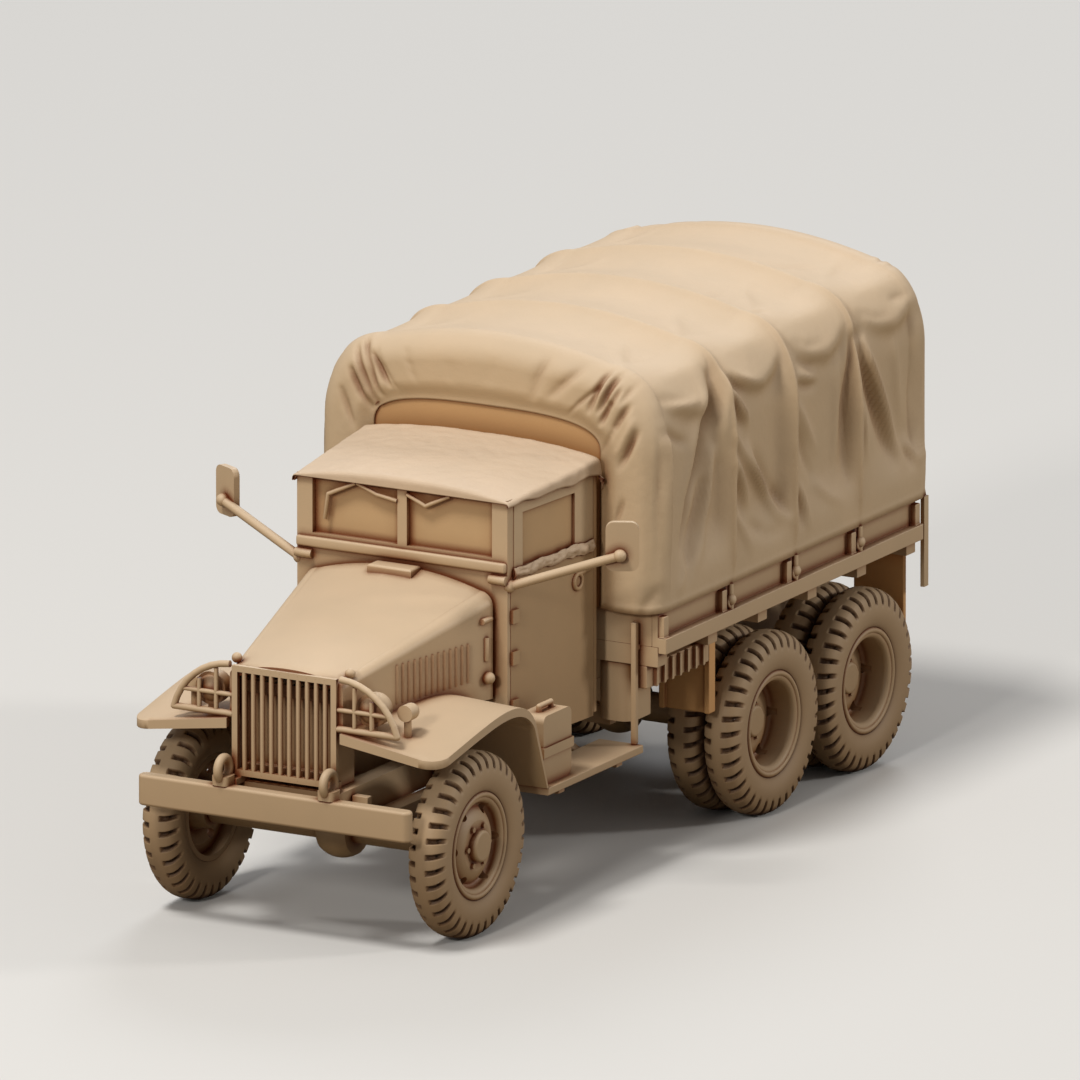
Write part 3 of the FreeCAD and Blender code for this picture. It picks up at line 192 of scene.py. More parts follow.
printLook = {
    # The first colour is painted light for faces turned up; the base colour holds painted shade for sides
    # and undersides
    "paintedTopLight": (0.645, 0.495, 0.342),
    "base": (0.440, 0.300, 0.160),
    # painted shade for tight corners and for wider recesses
    "deep": (0.150, 0.030, 0.006),
    "shade": (0.260, 0.112, 0.034),
    # painted shade that is multiplied in near the floor
    "low": (0.68, 0.62, 0.54),
    "recess": 0.0034,
    "corner": 0.0014,
    "layerScale": 9000.0,
    "mottleScale": 130.0,
    "roughness": 0.52,
    "patchDark": (0.965, 0.965, 0.96),
    "patchLight": (1.02, 1.01, 1.0),
    "floorShadeFrom": 0.004,  # heights above the floor between which the painted shade near the floor fades out
    "floorShadeTo": 0.040,
    "crumple": 0.30,
}

finishes = {
    "printed_tan": {},
    "printed_canvas": {"paintedTopLight": (0.665, 0.515, 0.360), "base": (0.480, 0.340, 0.188),
                       "shade": (0.270, 0.140, 0.050), "recess": 0.0048, "roughness": 0.66, "weave": 3400.0},
    "printed_roof": {"paintedTopLight": (0.680, 0.530, 0.388), "base": (0.500, 0.358, 0.225),
                     "shade": (0.300, 0.172, 0.076), "roughness": 0.66, "weave": 3400.0, "crumple": 0.45},
    # Painted warm shade: the front curtain, set back in the arch, is warmer and darker than the canvas
    "printed_arch_shade": {"paintedTopLight": (0.600, 0.390, 0.205), "base": (0.520, 0.310, 0.130),
                     "shade": (0.330, 0.130, 0.035), "recess": 0.0050, "roughness": 0.60},
    # Painted glow: the mud flaps are coloured orange as if light shone through them from behind
    "printed_flap_glow": {"paintedTopLight": (0.700, 0.420, 0.190), "base": (0.640, 0.350, 0.135),
                     "shade": (0.420, 0.150, 0.035), "roughness": 0.60},
    "printed_tyre": {"paintedTopLight": (0.500, 0.365, 0.230), "base": (0.410, 0.285, 0.165), "recess": 0.0016,
                     "corner": 0.0016, "deep": (0.055, 0.026, 0.012), "roughness": 0.60},
    "printed_pane": {"paintedTopLight": (0.560, 0.375, 0.205), "base": (0.500, 0.325, 0.165), "roughness": 0.42},
    # Painted shade: doors and cab back are a darker copy of the tan, standing in for the shade on them
    "printed_shaded_panel": {"paintedTopLight": (0.500, 0.350, 0.205), "base": (0.370, 0.235, 0.115), "roughness": 0.55},
}


def printMaterial(name, changes):
    # Matte tan print: painted shade makes it warmer and darker in recesses, in corners and towards the
    # floor, painted light makes it paler on tops, with random tone patches and a fine print grain
    look = {**printLook, **changes}
    material, shader = newMaterial(name)
    links = material.node_tree.links
    place = addNode(material, "ShaderNodeTexCoord").outputs["Object"]
    normal = addNode(material, "ShaderNodeNewGeometry").outputs["Normal"]
    wide = openness(material, 6, look["recess"])
    tight = openness(material, 5, look["corner"])
    upward = addNode(material, "ShaderNodeSeparateXYZ", {}, {0: normal}).outputs["Z"]
    mottle = noiseOf(material, place, look["mottleScale"])
    # Painted light and shade: faces turned up take the pale top colour, faces turned sideways or down take
    # the darker base colour
    colour = mixColours(material, ramp(material, upward, -0.5, 0.9), look["base"], look["paintedTopLight"])
    patch = mixColours(material, ramp(material, mottle, 0.30, 0.75), look["patchDark"], look["patchLight"])
    colour = mixColours(material, 1.0, colour, patch, "MULTIPLY")
    # Painted shade: darker towards the floor, fading out higher up
    height = addNode(material, "ShaderNodeSeparateXYZ", {}, {0: place}).outputs["Z"]
    floorShadeFade = ramp(material, height, look["floorShadeFrom"], look["floorShadeTo"])
    floorShade = mixColours(material, floorShadeFade, look["low"], (1.0, 1.0, 1.0))
    colour = mixColours(material, 1.0, colour, floorShade, "MULTIPLY")
    # Painted shade: recesses and tight corners found by ambient occlusion are darkened and warmed
    colour = mixColours(material, ramp(material, wide, 0.98, 0.30), colour, look["shade"])
    colour = mixColours(material, ramp(material, tight, 0.94, 0.50), colour, look["deep"])
    links.new(colour, shader.inputs["Base Color"])
    shader.inputs["Roughness"].default_value = look["roughness"]
    shader.inputs["Specular IOR Level"].default_value = 0.35
    grain = noiseOf(material, place, look["layerScale"], 2.0, (0.25, 0.25, 1.0))
    bump = addNode(material, "ShaderNodeBump", {"Strength": 0.10, "Distance": 0.00004}, {"Height": grain})
    if "weave" in look:
        threads = [addNode(material, "ShaderNodeTexWave", {"Scale": look["weave"], "bands_direction": axis,
                                                           "Distortion": 0.6, "Detail Scale": 2.0},
                           {"Vector": place}).outputs["Fac"] for axis in ("Y", "Z")]
        both = addNode(material, "ShaderNodeMath", {"operation": "ADD"}, dict(enumerate(threads))).outputs[0]
        soft = noiseOf(material, place, 420.0, 4.0)
        bump = addNode(material, "ShaderNodeBump", {"Strength": 0.10, "Distance": 0.00005},
                       {"Height": both, "Normal": bump.outputs[0]})
        bump = addNode(material, "ShaderNodeBump", {"Strength": look["crumple"], "Distance": 0.00035},
                       {"Height": soft, "Normal": bump.outputs[0]})
    links.new(bump.outputs[0], shader.inputs["Normal"])
    return material


materials = {name: printMaterial(name, changes) for name, changes in finishes.items()}


# Mesh helpers
def bmeshPiece(name, bm, finish="printed_tan", body="truck", outward=None, smooth=True):
    # Normals are made to agree, and an open sheet is turned so that its middle faces the given way
    bmesh.ops.recalc_face_normals(bm, faces=bm.faces)
    bm.normal_update()
    if outward is not None and sum(face.normal.dot(outward) * face.calc_area() for face in bm.faces) < 0:
        bmesh.ops.reverse_faces(bm, faces=bm.faces)
    mesh = bpy.data.meshes.new(name)
    bm.to_mesh(mesh)
    bm.free()
    piece = bpy.data.objects.new(name, mesh)
    bpy.context.scene.collection.objects.link(piece)
    mesh.materials.append(materials[finish])
    if smooth:
        mesh.shade_smooth()
    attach(piece, body)
    return piece


# Canvas cover. A fold is its height, its width, how wide its far side is next to the near one, and the
# points that it runs through: back from the front axle and up from the floor on the sides, across and up
# on the ends, back and across on the roof. A positive height is a ridge, a negative one a groove.
cover = {
    "origin": 0.0602,
    "ridges": (52.6, 73.9, 94.1, 115.6, 138.7),
    "hem": 42.0,
    "sideGap": 0.05,
    "sideTop": 67.0,
    "cornerWidth": 10.0,
    "cornerHeight": 14.0,
    "crown": 2.9,
    "archHalf": 20.7,
    "archSpring": 67.0,
    "archTop": 72.6,
    "archPower": 3.0,
    "rimRows": 4,
    "frontRows": 37,
    "tunnelRows": 144,
    "rearRows": 16,
    "sideColumns": 40,
    "bendColumns": 74,
    "shoulderExtra": 1.6,
    "ridgeExtra": 1.8,
    "ridgeReach": 1.6,
    "rimDepth": 0.5,
    "frontRounding": 4.6,
    "rearRounding": 5.6,
    "faceBulge": 0.9,
    "swagTop": 78.0,
    "hollow": 1.8,
    "hollowEvenShare": 0.30,  # the part of the hollow that is even over a bay
    "hollowRearShare": 0.95,  # the part that deepens towards the next ridge
    "riseFromShare": 0.80,  # where in the bay the cloth starts to come out to the next ridge
    "riseToShare": 0.985,
    "roofSag": 1.5,
    "ridgeHeight": 0.75,
    "ridgeWidth": 0.5,
    "rollHeight": 0.55,
    "thickness": 0.0007,
    "boardTop": 47.6,
    "boardRecess": 0.5,
    "sideFold": 2.2,
    "frontFold": 1.55,
    "rearFoldShare": 0.8,
    "middle": 90,
    "roofFold": 1.6,
}

# How high the lower edge of the hanging roll is at shares of a bay
# Height of the swag under the shoulder, by how far a place is from one ridge to the next
swagLine = ((0.0, 77.4), (0.10, 75.8), (0.21, 73.8), (0.37, 72.4), (0.59, 71.5), (0.78, 72.6),
            (0.92, 74.6), (1.0, 76.6))

sideFolds = (
    (-0.22, 0.75, 1.6, (55.1, 76.0), (57.4, 75.3), (60.7, 74.5), (63.0, 74.2)),
    (0.35, 0.9, 1.0, (54.7, 75.0), (57.0, 74.2), (61.2, 73.8), (65.1, 73.7)),
    (-0.55, 0.9, 1.0, (52.4, 73.8), (50.2, 60.0), (49.9, 46.0)),
    (0.45, 0.8, 1.0, (53.0, 69.9), (52.6, 52.0), (51.0, 46.0)),
    (-1.25, 2.1, 0.7, (71.7, 76.3), (70.1, 72.6), (66.8, 68.0), (64.0, 62.5), (61.0, 58.0),
     (58.9, 50.0), (57.2, 45.2)),
    (-0.6, 0.8, 0.8, (66.3, 60.0), (64.0, 55.0), (61.5, 51.0), (59.4, 47.5), (58.8, 45.4)),
    (0.65, 0.8, 1.3, (69.4, 64.5), (67.5, 57.0), (65.0, 51.0), (61.6, 46.4)),
    (0.5, 0.5, 1.0, (58.8, 50.0), (58.0, 46.4), (55.8, 44.2)),
    (0.5, 1.3, 1.4, (66.6, 73.4), (62.6, 67.0), (59.6, 60.0), (57.0, 52.0)),
    (0.35, 1.2, 1.0, (74.0, 75.4), (72.0, 69.9), (71.2, 62.0)),
    (-0.45, 0.8, 1.0, (53.7, 71.0), (57.2, 68.9), (61.0, 67.6)),
    (0.75, 0.62, 1.8, (75.3, 72.9), (77.0, 70.4), (79.1, 68.4), (80.6, 66.3)),
    (-0.5, 0.85, 1.3, (75.0, 71.2), (76.1, 68.6), (78.4, 65.9)),
    (0.55, 0.7, 1.4, (74.6, 66.0), (78.8, 61.2), (83.0, 57.0), (86.4, 53.6)),
    (0.7, 0.6, 1.6, (74.8, 61.6), (76.8, 58.6), (78.6, 56.0), (80.6, 52.6)),
    (-0.35, 0.8, 1.0, (75.3, 57.6), (76.6, 54.4), (78.2, 51.4)),
    (0.75, 1.0, 0.8, (79.2, 63.0), (82.0, 58.6), (85.2, 54.8), (89.2, 50.0), (94.0, 47.6)),
    (-0.3, 1.0, 1.2, (83.0, 60.5), (87.0, 55.5), (91.5, 50.6)),
    (-0.35, 0.7, 1.0, (89.6, 53.4), (91.2, 50.8), (92.7, 48.4)),
    (0.4, 0.7, 1.0, (75.4, 52.4), (78.4, 48.4), (80.8, 45.6)),
    (-0.35, 0.8, 1.0, (80.6, 49.8), (84.6, 47.4), (91.0, 46.6)),
    (0.45, 0.9, 1.0, (75.8, 75.7), (78.4, 74.1), (81.7, 72.9), (86.2, 72.0)),
    (-0.33, 0.7, 1.4, (76.0, 75.2), (77.1, 73.6), (80.3, 72.2)),
    (-0.45, 0.8, 1.0, (95.2, 51.4), (96.2, 48.4), (96.8, 45.6)),
    (0.45, 0.6, 1.0, (96.4, 52.6), (98.2, 48.2), (99.2, 45.0)),
    (-0.17, 0.7, 1.2, (98.8, 75.8), (100.9, 74.7), (106.5, 74.2)),
    (-0.17, 0.6, 1.0, (97.0, 73.1), (100.1, 72.0), (104.8, 71.2)),
    (0.42, 0.8, 1.5, (96.2, 71.2), (99.4, 70.1), (103.8, 69.1)),
    (-0.4, 0.7, 1.2, (95.9, 69.7), (99.5, 68.6), (104.0, 67.8)),
    (0.4, 0.9, 1.0, (95.6, 66.0), (100.0, 60.6), (103.6, 56.4)),
    (-0.45, 0.8, 1.0, (95.4, 62.0), (98.6, 56.6), (101.6, 52.6)),
    (0.35, 1.0, 1.0, (110.9, 70.8), (110.0, 60.0), (109.4, 51.0)),
    (-0.85, 1.3, 0.8, (115.1, 72.9), (113.2, 62.0), (112.6, 48.6)),
    (0.35, 0.9, 1.0, (102.0, 52.0), (106.6, 48.8), (111.0, 47.0)),
    (-1.0, 1.1, 1.8, (117.5, 72.9), (118.2, 68.0), (121.0, 63.0), (124.0, 57.4), (127.0, 52.0),
     (129.2, 48.8)),
    (0.8, 0.95, 1.6, (118.2, 71.7), (119.8, 68.0), (122.4, 64.0), (125.8, 58.6), (128.9, 52.8),
     (131.8, 48.4)),
    (-0.55, 0.6, 1.0, (117.4, 64.4), (118.2, 61.4), (119.0, 58.2)),
    (0.4, 0.7, 1.0, (116.4, 62.0), (117.6, 57.0), (118.8, 51.0)),
    (-0.3, 0.8, 1.0, (131.8, 51.0), (133.0, 49.4), (134.4, 47.8)),
    (0.5, 0.7, 1.0, (132.2, 52.0), (135.4, 48.9), (138.0, 47.0)),
    (-0.18, 0.7, 1.2, (119.5, 76.0), (123.7, 74.4), (128.8, 74.0)),
    (-0.19, 0.7, 1.0, (130.1, 76.0), (136.0, 75.8)),
    (-1.1, 1.3, 0.6, (136.6, 71.7), (135.7, 60.0), (135.3, 48.6)),
    (0.35, 1.2, 1.0, (129.1, 70.3), (130.2, 62.0), (131.8, 55.0)),
)

frontFolds = (
    (-0.97, 0.47, 1.0, (-22.9, 80.8), (-20.75, 76.5), (-19.2, 71.6)),
    (-0.97, 0.43, 1.0, (-20.7, 78.9), (-18.75, 75.75), (-17.2, 73.4)),
    (-0.74, 0.43, 1.0, (-24.1, 79.2), (-22.25, 75.25), (-20.5, 71.5), (-19.5, 69.6)),
    (-0.78, 0.43, 1.0, (-24.6, 75.8), (-22.75, 72.25), (-20.7, 69.3)),
    (0.42, 0.43, 1.0, (-23.8, 77.2), (-21.6, 72.6), (-20.3, 70.2)),
    (0.42, 0.43, 1.0, (-21.9, 79.2), (-19.7, 74.6), (-18.6, 72.3)),
    (-0.5, 0.43, 1.0, (-26.3, 72.4), (-24.75, 68.5), (-23.5, 65.6)),
    (-0.32, 0.3, 1.0, (-20.2, 79.6), (-18.0, 76.2), (-15.9, 73.1)),
    (-0.27, 0.34, 1.0, (-14.7, 80.2), (-13.4, 77.0), (-12.3, 74.6)),
    (-0.27, 0.34, 1.0, (-6.3, 78.9), (-5.6, 75.3)),
    (-0.23, 0.43, 1.0, (1.5, 80.5), (0.9, 75.7)),
    (-0.69, 0.47, 1.0, (11.1, 81.7), (9.5, 77.5), (8.4, 74.4)),
    (-0.5, 0.81, 1.0, (17.3, 80.8), (14.0, 77.75), (11.3, 74.9)),
    (-0.37, 0.3, 1.0, (21.0, 78.5), (17.5, 75.5), (15.0, 73.0)),
    (-0.78, 0.43, 1.0, (21.9, 81.1), (20.0, 76.5), (18.8, 73.5)),
    (0.37, 0.43, 1.0, (22.6, 80.5), (20.9, 76.0), (19.9, 73.5)),
    (-0.97, 0.43, 1.0, (23.4, 80.0), (21.75, 76.25), (20.5, 73.8)),
    (-0.92, 0.34, 1.0, (22.9, 76.0), (21.8, 73.6), (20.9, 71.8)),
    (-0.74, 0.3, 1.0, (24.3, 78.2), (22.7, 75.1)),
    (-0.46, 0.39, 1.0, (26.1, 78.8), (24.6, 75.7)),
    (-0.78, 0.43, 1.0, (26.0, 75.7), (24.6, 73.4), (23.5, 71.6)),
    (-0.78, 0.43, 1.0, (27.7, 71.7), (25.75, 67.5), (24.2, 65.1)),
    (0.37, 0.43, 1.0, (27.0, 73.4), (25.0, 69.2), (23.6, 67.0)),
    (-0.32, 0.3, 1.0, (24.2, 72.6), (22.4, 69.6), (20.9, 67.2)),
    (-0.42, 0.43, 1.0, (25.3, 60.0), (23.3, 54.9)),
    (-0.37, 0.52, 1.0, (30.7, 45.8), (27.9, 41.4)),
)

roofFolds = (
    (-0.3, 0.9, 1.0, (50.0, 28.6), (55.0, 27.9), (60.0, 27.4)),
    (-0.3, 0.8, 1.0, (73.0, 28.0), (80.0, 27.0)),
    (0.25, 1.2, 1.0, (54.0, 22.0), (62.0, 17.0), (69.0, 14.0)),
    (-0.3, 0.8, 1.0, (91.0, 27.0), (100.0, 27.0)),
    (-0.25, 0.8, 1.0, (95.0, 23.0), (100.0, 23.0)),
    (-0.25, 0.8, 1.0, (96.0, 15.5), (101.0, 14.5)),
    (0.22, 1.3, 1.0, (76.0, 20.0), (84.0, 15.0), (91.0, 12.0)),
    (0.22, 1.3, 1.0, (98.0, 21.0), (106.0, 15.0), (113.0, 13.0)),
    (-0.25, 1.0, 1.0, (118.0, 15.0), (127.0, 17.5)),
    (0.22, 1.3, 1.0, (120.0, 22.0), (128.0, 19.0), (135.0, 17.0)),
)


def evenly(points, count):
    # The same line with its points at even distances along it, closer together round the shoulder
    steps = np.linalg.norm(np.diff(points, axis=0), axis=1)
    place = points[1:, 0] / points[0, 0]
    steps = steps * (1 + cover["shoulderExtra"] * np.exp(-((place - 0.78) / 0.26) ** 2))
    along = np.concatenate([[0.0], np.cumsum(steps)])
    wanted = np.linspace(0, along[-1], count)
    return np.stack([np.interp(wanted, along, points[:, i]) for i in range(2)], axis=1)


def mirrorLine(side, bend):
    # From the left hem up, over and down to the right hem, as (x, z)
    left = np.concatenate([side, evenly(bend, cover["bendColumns"] + 1)])
    return np.concatenate([left, left[::-1][1:] * np.array([-1, 1])])


def outerSection(half):
    turn = np.linspace(0, math.pi / 2, 200)
    brow = half - cover["cornerWidth"]
    corner = np.stack([brow + cover["cornerWidth"] * np.cos(turn),
                       cover["sideTop"] + cover["cornerHeight"] * np.sin(turn)], axis=1)
    across = np.linspace(brow, 0, 60)[1:]
    top = cover["sideTop"] + cover["cornerHeight"] + cover["crown"] * (1 - (across / brow) ** 2)
    rise = sideRise(cover["sideTop"])
    return mirrorLine(np.stack([np.full(len(rise), half), rise], axis=1),
                      np.concatenate([corner, np.stack([across, top], axis=1)]))


def archSection():
    turn = np.linspace(0, math.pi / 2, 400)
    x = cover["archHalf"] * np.cos(turn) ** (2 / cover["archPower"])
    height = cover["archTop"] - cover["archSpring"]
    z = cover["archSpring"] + height * np.sin(turn) ** (2 / cover["archPower"])
    rise = sideRise(cover["archSpring"])
    side = np.stack([np.full(len(rise), cover["archHalf"]), rise], axis=1)
    return mirrorLine(side, np.stack([x, z], axis=1))


def sideRise(top):
    # Fewer rows on the boards, where the cloth is tight
    share = np.linspace(0, 1, cover["sideColumns"], endpoint=False)
    return cover["hem"] + (top - cover["hem"]) * share ** 0.85


def faceRows(end, sign, count, reach, width):
    # Each row is its distance along the truck and its share of the way in to the arch rim
    lip = end + sign * cover["faceBulge"]
    rimRows, depth = cover["rimRows"], cover["rimDepth"]
    rows = [(lip + sign * depth * (1 - k / rimRows), 1.0) for k in range(rimRows)]
    for k in range(count + 1):
        share = 1 - k / count
        inset = 1 - min(1, share * width / (0.9 * reach))
        swell = 0.5 * cover["faceBulge"] * (1 + math.cos(math.pi * min(1, (1 - share) * 3)))
        rows.append((end + sign * (reach * (1 - math.sqrt(1 - inset * inset)) + swell), share))
    return rows


def ridgeGap(y):
    return np.min([np.abs(y - ridge) for ridge in cover["ridges"]], axis=0)


def coverBase(half, front, rear):
    width = half - cover["archHalf"]
    head = faceRows(front, 1, cover["frontRows"], cover["frontRounding"], width)
    tail = faceRows(rear, -1, cover["rearRows"], cover["rearRounding"], width)
    fine = np.linspace(head[-1][0], tail[-1][0], 3000)
    crowd = np.cumsum(1 + cover["ridgeExtra"] * np.exp(-(ridgeGap(fine) / cover["ridgeReach"]) ** 2))
    middle = np.interp(np.linspace(crowd[0], crowd[-1], cover["tunnelRows"] + 2)[1:-1], crowd, fine)
    rows = np.array(head + [(y, 0.0) for y in middle] + tail[::-1])
    outer, rim = outerSection(half), archSection()
    y, share = rows[:, 0][:, None], rows[:, 1][:, None]
    x = outer[:, 0] * (1 - share) + rim[:, 0] * share
    z = outer[:, 1] * (1 - share) + rim[:, 1] * share
    return np.stack([x, np.broadcast_to(y, x.shape), z], axis=2), share


def gridNormals(points):
    normal = np.cross(np.gradient(points, axis=0), np.gradient(points, axis=1))
    return normal / np.maximum(np.linalg.norm(normal, axis=2, keepdims=True), 1e-12)


def foldHeight(u, v, folds):
    # Every fold swells and fades along its run, and may be steeper on one side
    total = np.zeros_like(u)
    for height, width, lean, *points in folds:
        line = np.array(points)
        spans = np.linalg.norm(np.diff(line, axis=0), axis=1)
        starts = np.concatenate([[0.0], np.cumsum(spans)])
        nearest, along, side = np.full(u.shape, 1e9), np.zeros_like(u), np.zeros_like(u)
        for a, b, span, start in zip(line, line[1:], spans, starts):
            du, dv = (b - a) / span
            t = np.clip((u - a[0]) * du + (v - a[1]) * dv, 0, span)
            gap = np.hypot(u - a[0] - t * du, v - a[1] - t * dv)
            closer = gap < nearest
            nearest, along = np.where(closer, gap, nearest), np.where(closer, start + t, along)
            side = np.where(closer, (u - a[0]) * dv - (v - a[1]) * du, side)
        share = along / starts[-1]
        taper = np.sin(math.pi * np.clip(0.08 + 0.92 * share, 0, 1) ** 0.75) ** 0.8
        reach = np.where(side > 0, width * lean, width)
        total += height * taper * np.exp(-(nearest / (0.85 * reach)) ** 1.45)
    return total


def smoothStep(value, low, high):
    t = np.clip((value - low) / (high - low), 0, 1)
    return t * t * (3 - 2 * t)


def bayPart(y):
    # How far a place is from one ridge to the next one
    ridges = np.array(cover["ridges"])
    bay = np.clip(np.searchsorted(ridges, y, side="right") - 1, 0, len(ridges) - 2)
    part = (y - ridges[bay]) / (ridges[bay + 1] - ridges[bay])
    return np.clip(part, 0, 1)


def sideRelief(y, z):
    # Cloth falls back slowly behind each ridge, comes out again just before the next one, and hangs in a
    # roll at the top
    part = bayPart(y)
    swag = np.interp(part, *zip(*swagLine))
    hang = np.sin(math.pi * part) * (1.25 - 0.5 * part)
    rise = smoothStep(part, cover["riseFromShare"], cover["riseToShare"])
    hollow = cover["hollowEvenShare"] * np.sin(math.pi * part) + cover["hollowRearShare"] * part * (1 - rise)
    upright = smoothStep(z, 45.5, 54.0) * (1 - 0.85 * smoothStep(z, swag - 1.8, swag + 2.2))
    relief = -cover["hollow"] * hollow * upright
    over = z - swag
    relief += cover["rollHeight"] * hang * np.where(over > 0.8, np.exp(-((over - 0.8) / 2.6) ** 2),
                                                    np.exp(-((over - 0.8) / 0.75) ** 2))
    gap = ridgeGap(y)
    relief += cover["ridgeHeight"] * np.exp(-(gap / cover["ridgeWidth"]) ** 1.4) * smoothStep(z, 42.5, 47.0)
    return relief + cover["sideFold"] * foldHeight(y, z, sideFolds)


def roofRelief(y, x):
    part = bayPart(y)
    sag = 0.5 * np.sin(math.pi * part) + 0.5 * np.sin(math.pi * part ** 1.6)
    gap = ridgeGap(y)
    relief = -cover["roofSag"] * sag + 0.16 * np.exp(-(gap / 1.1) ** 2)
    folds = foldHeight(y, x, roofFolds) + foldHeight(y, -x, roofFolds)
    return relief + cover["roofFold"] * folds


def softened(values):
    # Each value takes on a little of its four neighbours
    edge = np.pad(values, 1, mode="edge")
    return (4 * values + edge[:-2, 1:-1] + edge[2:, 1:-1] + edge[1:-1, :-2] + edge[1:-1, 2:]) / 8


def coverRelief(points, share, half):
    x, y, z = points[:, :, 0], points[:, :, 1], points[:, :, 2]
    share = np.broadcast_to(share, x.shape)
    roof = smoothStep(z, cover["swagTop"], cover["swagTop"] + 3.6)
    behind = smoothStep(y, cover["ridges"][0] - 3.4, cover["ridges"][0] - 1.4)
    relief = roof * roofRelief(y, x) + (1 - roof) * sideRelief(y, z)
    relief *= (1 - smoothStep(share, 0.0, 0.16)) * behind
    front = smoothStep(share, 0.0, 0.10) * (y < cover["middle"])
    rear = smoothStep(share, 0.0, 0.10) * (y > cover["middle"]) * cover["rearFoldShare"]
    gathers = front * foldHeight(x, z, frontFolds) + rear * foldHeight(-x, z, frontFolds)
    relief += cover["frontFold"] * gathers
    free = smoothStep(z, cover["boardTop"], cover["boardTop"] + 3.0)
    onSide = (share < 0.02) & (z < cover["sideTop"])
    least = np.where(onSide, -cover["boardRecess"] - free * 10, -10)
    hem = np.clip(1 - (z - cover["hem"]) / 0.9, 0, 1)
    return softened(softened(np.maximum(relief, least))) + 0.2 * np.sqrt(hem)


def makeCover():
    low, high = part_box("tarp")
    half = high[0] / millimetre - cover["sideGap"]
    front, rear = ((end + cover["origin"]) / millimetre for end in (low[1], high[1]))
    base, share = coverBase(half, front, rear)
    normals = gridNormals(base)
    points = base + normals * coverRelief(base, share, half)[:, :, None]
    points[:, :, 1] = np.minimum(points[:, :, 1], rear) - cover["origin"] / millimetre
    rows, columns = points.shape[:2]
    bm = bmesh.new()
    bmesh.ops.create_grid(bm, x_segments=columns - 1, y_segments=rows - 1, size=0.5)
    for vert in bm.verts:
        column = round((vert.co.x + 0.5) * (columns - 1))
        row = round((vert.co.y + 0.5) * (rows - 1))
        vert.co = points[row, column] * millimetre
    piece = bmeshPiece("cover", bm, "printed_canvas", outward=Vector((0, 0, 1)))
    wall = piece.modifiers.new("cloth", "SOLIDIFY")
    wall.thickness = cover["thickness"]
    wall.offset = -1
    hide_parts("tarp")
    print("cover", len(piece.data.polygons), "faces before its thickness")


# Canvas roof of the cab, its hem over the doors and the ledge under the windscreen, placed in the frame
cabCloth = {
    "front": -38.8,
    "rear": -12.3,
    "frontHalf": 19.75,
    "rearHalf": 21.7,
    "frontTop": 66.8,
    "rearTop": 68.85,
    "edgeDrop": 1.7,
    "turn": 0.55,
    "bottom": 64.6,
    "endLap": 1.6,
    "frontHem": 65.0,
    "hemWave": 0.5,
    "columns": 120,
    "rows": 84,
    "lump": 0.11,
    "lumpSize": 2.6,
    "thickness": 0.0005,
}

beltCloth = {"front": -36.6, "rear": -13.9, "top": 54.1, "bottom": 52.3, "wave": 0.5, "swell": 0.42,
             "inset": 0.62,
             "columns": 110, "rows": 14, "thickness": 0.0003}

ledge = {"half": 19.1, "front": -38.95, "rear": -37.6, "bottom": 53.5, "top": 55.25, "round": 0.0004}


def cabHalfAt(y):
    share = (y - cabCloth["front"]) / (cabCloth["rear"] - cabCloth["front"])
    return cabCloth["frontHalf"] + (cabCloth["rearHalf"] - cabCloth["frontHalf"]) * share


def turnOver(past, radius):
    # How far a cloth goes on and how far it drops, once it has passed the start of a rounded edge
    angle = min(max(past, 0) / radius, math.pi / 2)
    return radius * math.sin(angle), radius * (1 - math.cos(angle)) + max(0, past - radius * math.pi / 2)


def lumps(x, y, z, size):
    here = noise.noise(Vector((x / size, y / (0.8 * size), z / size)))
    return here + 0.5 * noise.noise(Vector((x / size * 2.1, y / size * 2.3, z / size * 2 + 7)))


def makeCabRoof():
    front, rear, turn = (cabCloth[key] for key in ("front", "rear", "turn"))
    bm = bmesh.new()
    bmesh.ops.create_grid(bm, x_segments=cabCloth["columns"], y_segments=cabCloth["rows"], size=1.0)
    for vert in bm.verts:
        across, along = vert.co.x, vert.co.y
        y = (front + rear) / 2 + along * ((rear - front) / 2 + cabCloth["endLap"])
        past = abs(y - (front + rear) / 2) - ((rear - front) / 2 - turn)
        step, dropY = turnOver(past, turn)
        if past > 0:
            y = (front + rear) / 2 + math.copysign((rear - front) / 2 - turn + step, along)
        half = cabHalfAt(y)
        climb = (cabCloth["rearTop"] - cabCloth["frontTop"]) / (rear - front)
        ridge = cabCloth["frontTop"] + climb * (y - front)
        hem = cabCloth["bottom"] + cabCloth["hemWave"] * noise.noise(Vector((y * 0.22, across, 3)))
        x = abs(across) * (half + ridge - cabCloth["edgeDrop"] - hem)
        share = min(1, x / half)
        past = x - (half - turn)
        step, dropX = turnOver(past, turn)
        x = min(x, half - turn) + step if past > 0 else x
        z = ridge - cabCloth["edgeDrop"] * share ** 2.6
        if dropY > 0.02:
            hem = cabCloth["frontHem"] if along < 0 else cabCloth["bottom"]
            z += (min(hem, z) - z) * min(1, dropY / cabCloth["endLap"])
        z -= dropX
        lump = cabCloth["lump"] * lumps(x * (1 if across > 0 else -1), y, z, cabCloth["lumpSize"])
        onTop = 1 if max(dropX, dropY) < 0.1 else 0
        side = lump * (1 - onTop)
        vert.co = Vector((math.copysign(x + side, across), y, z + lump * onTop)) * millimetre
    bmesh.ops.smooth_vert(bm, verts=bm.verts, factor=0.5, use_axis_x=True, use_axis_y=True, use_axis_z=True)
    piece = bmeshPiece("cab_cloth", bm, "printed_roof", outward=Vector((0, 0, 1)))
    wall = piece.modifiers.new("cloth", "SOLIDIFY")
    wall.thickness = cabCloth["thickness"]
    wall.offset = -1
    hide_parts("cab_roof")
    print("cab roof")


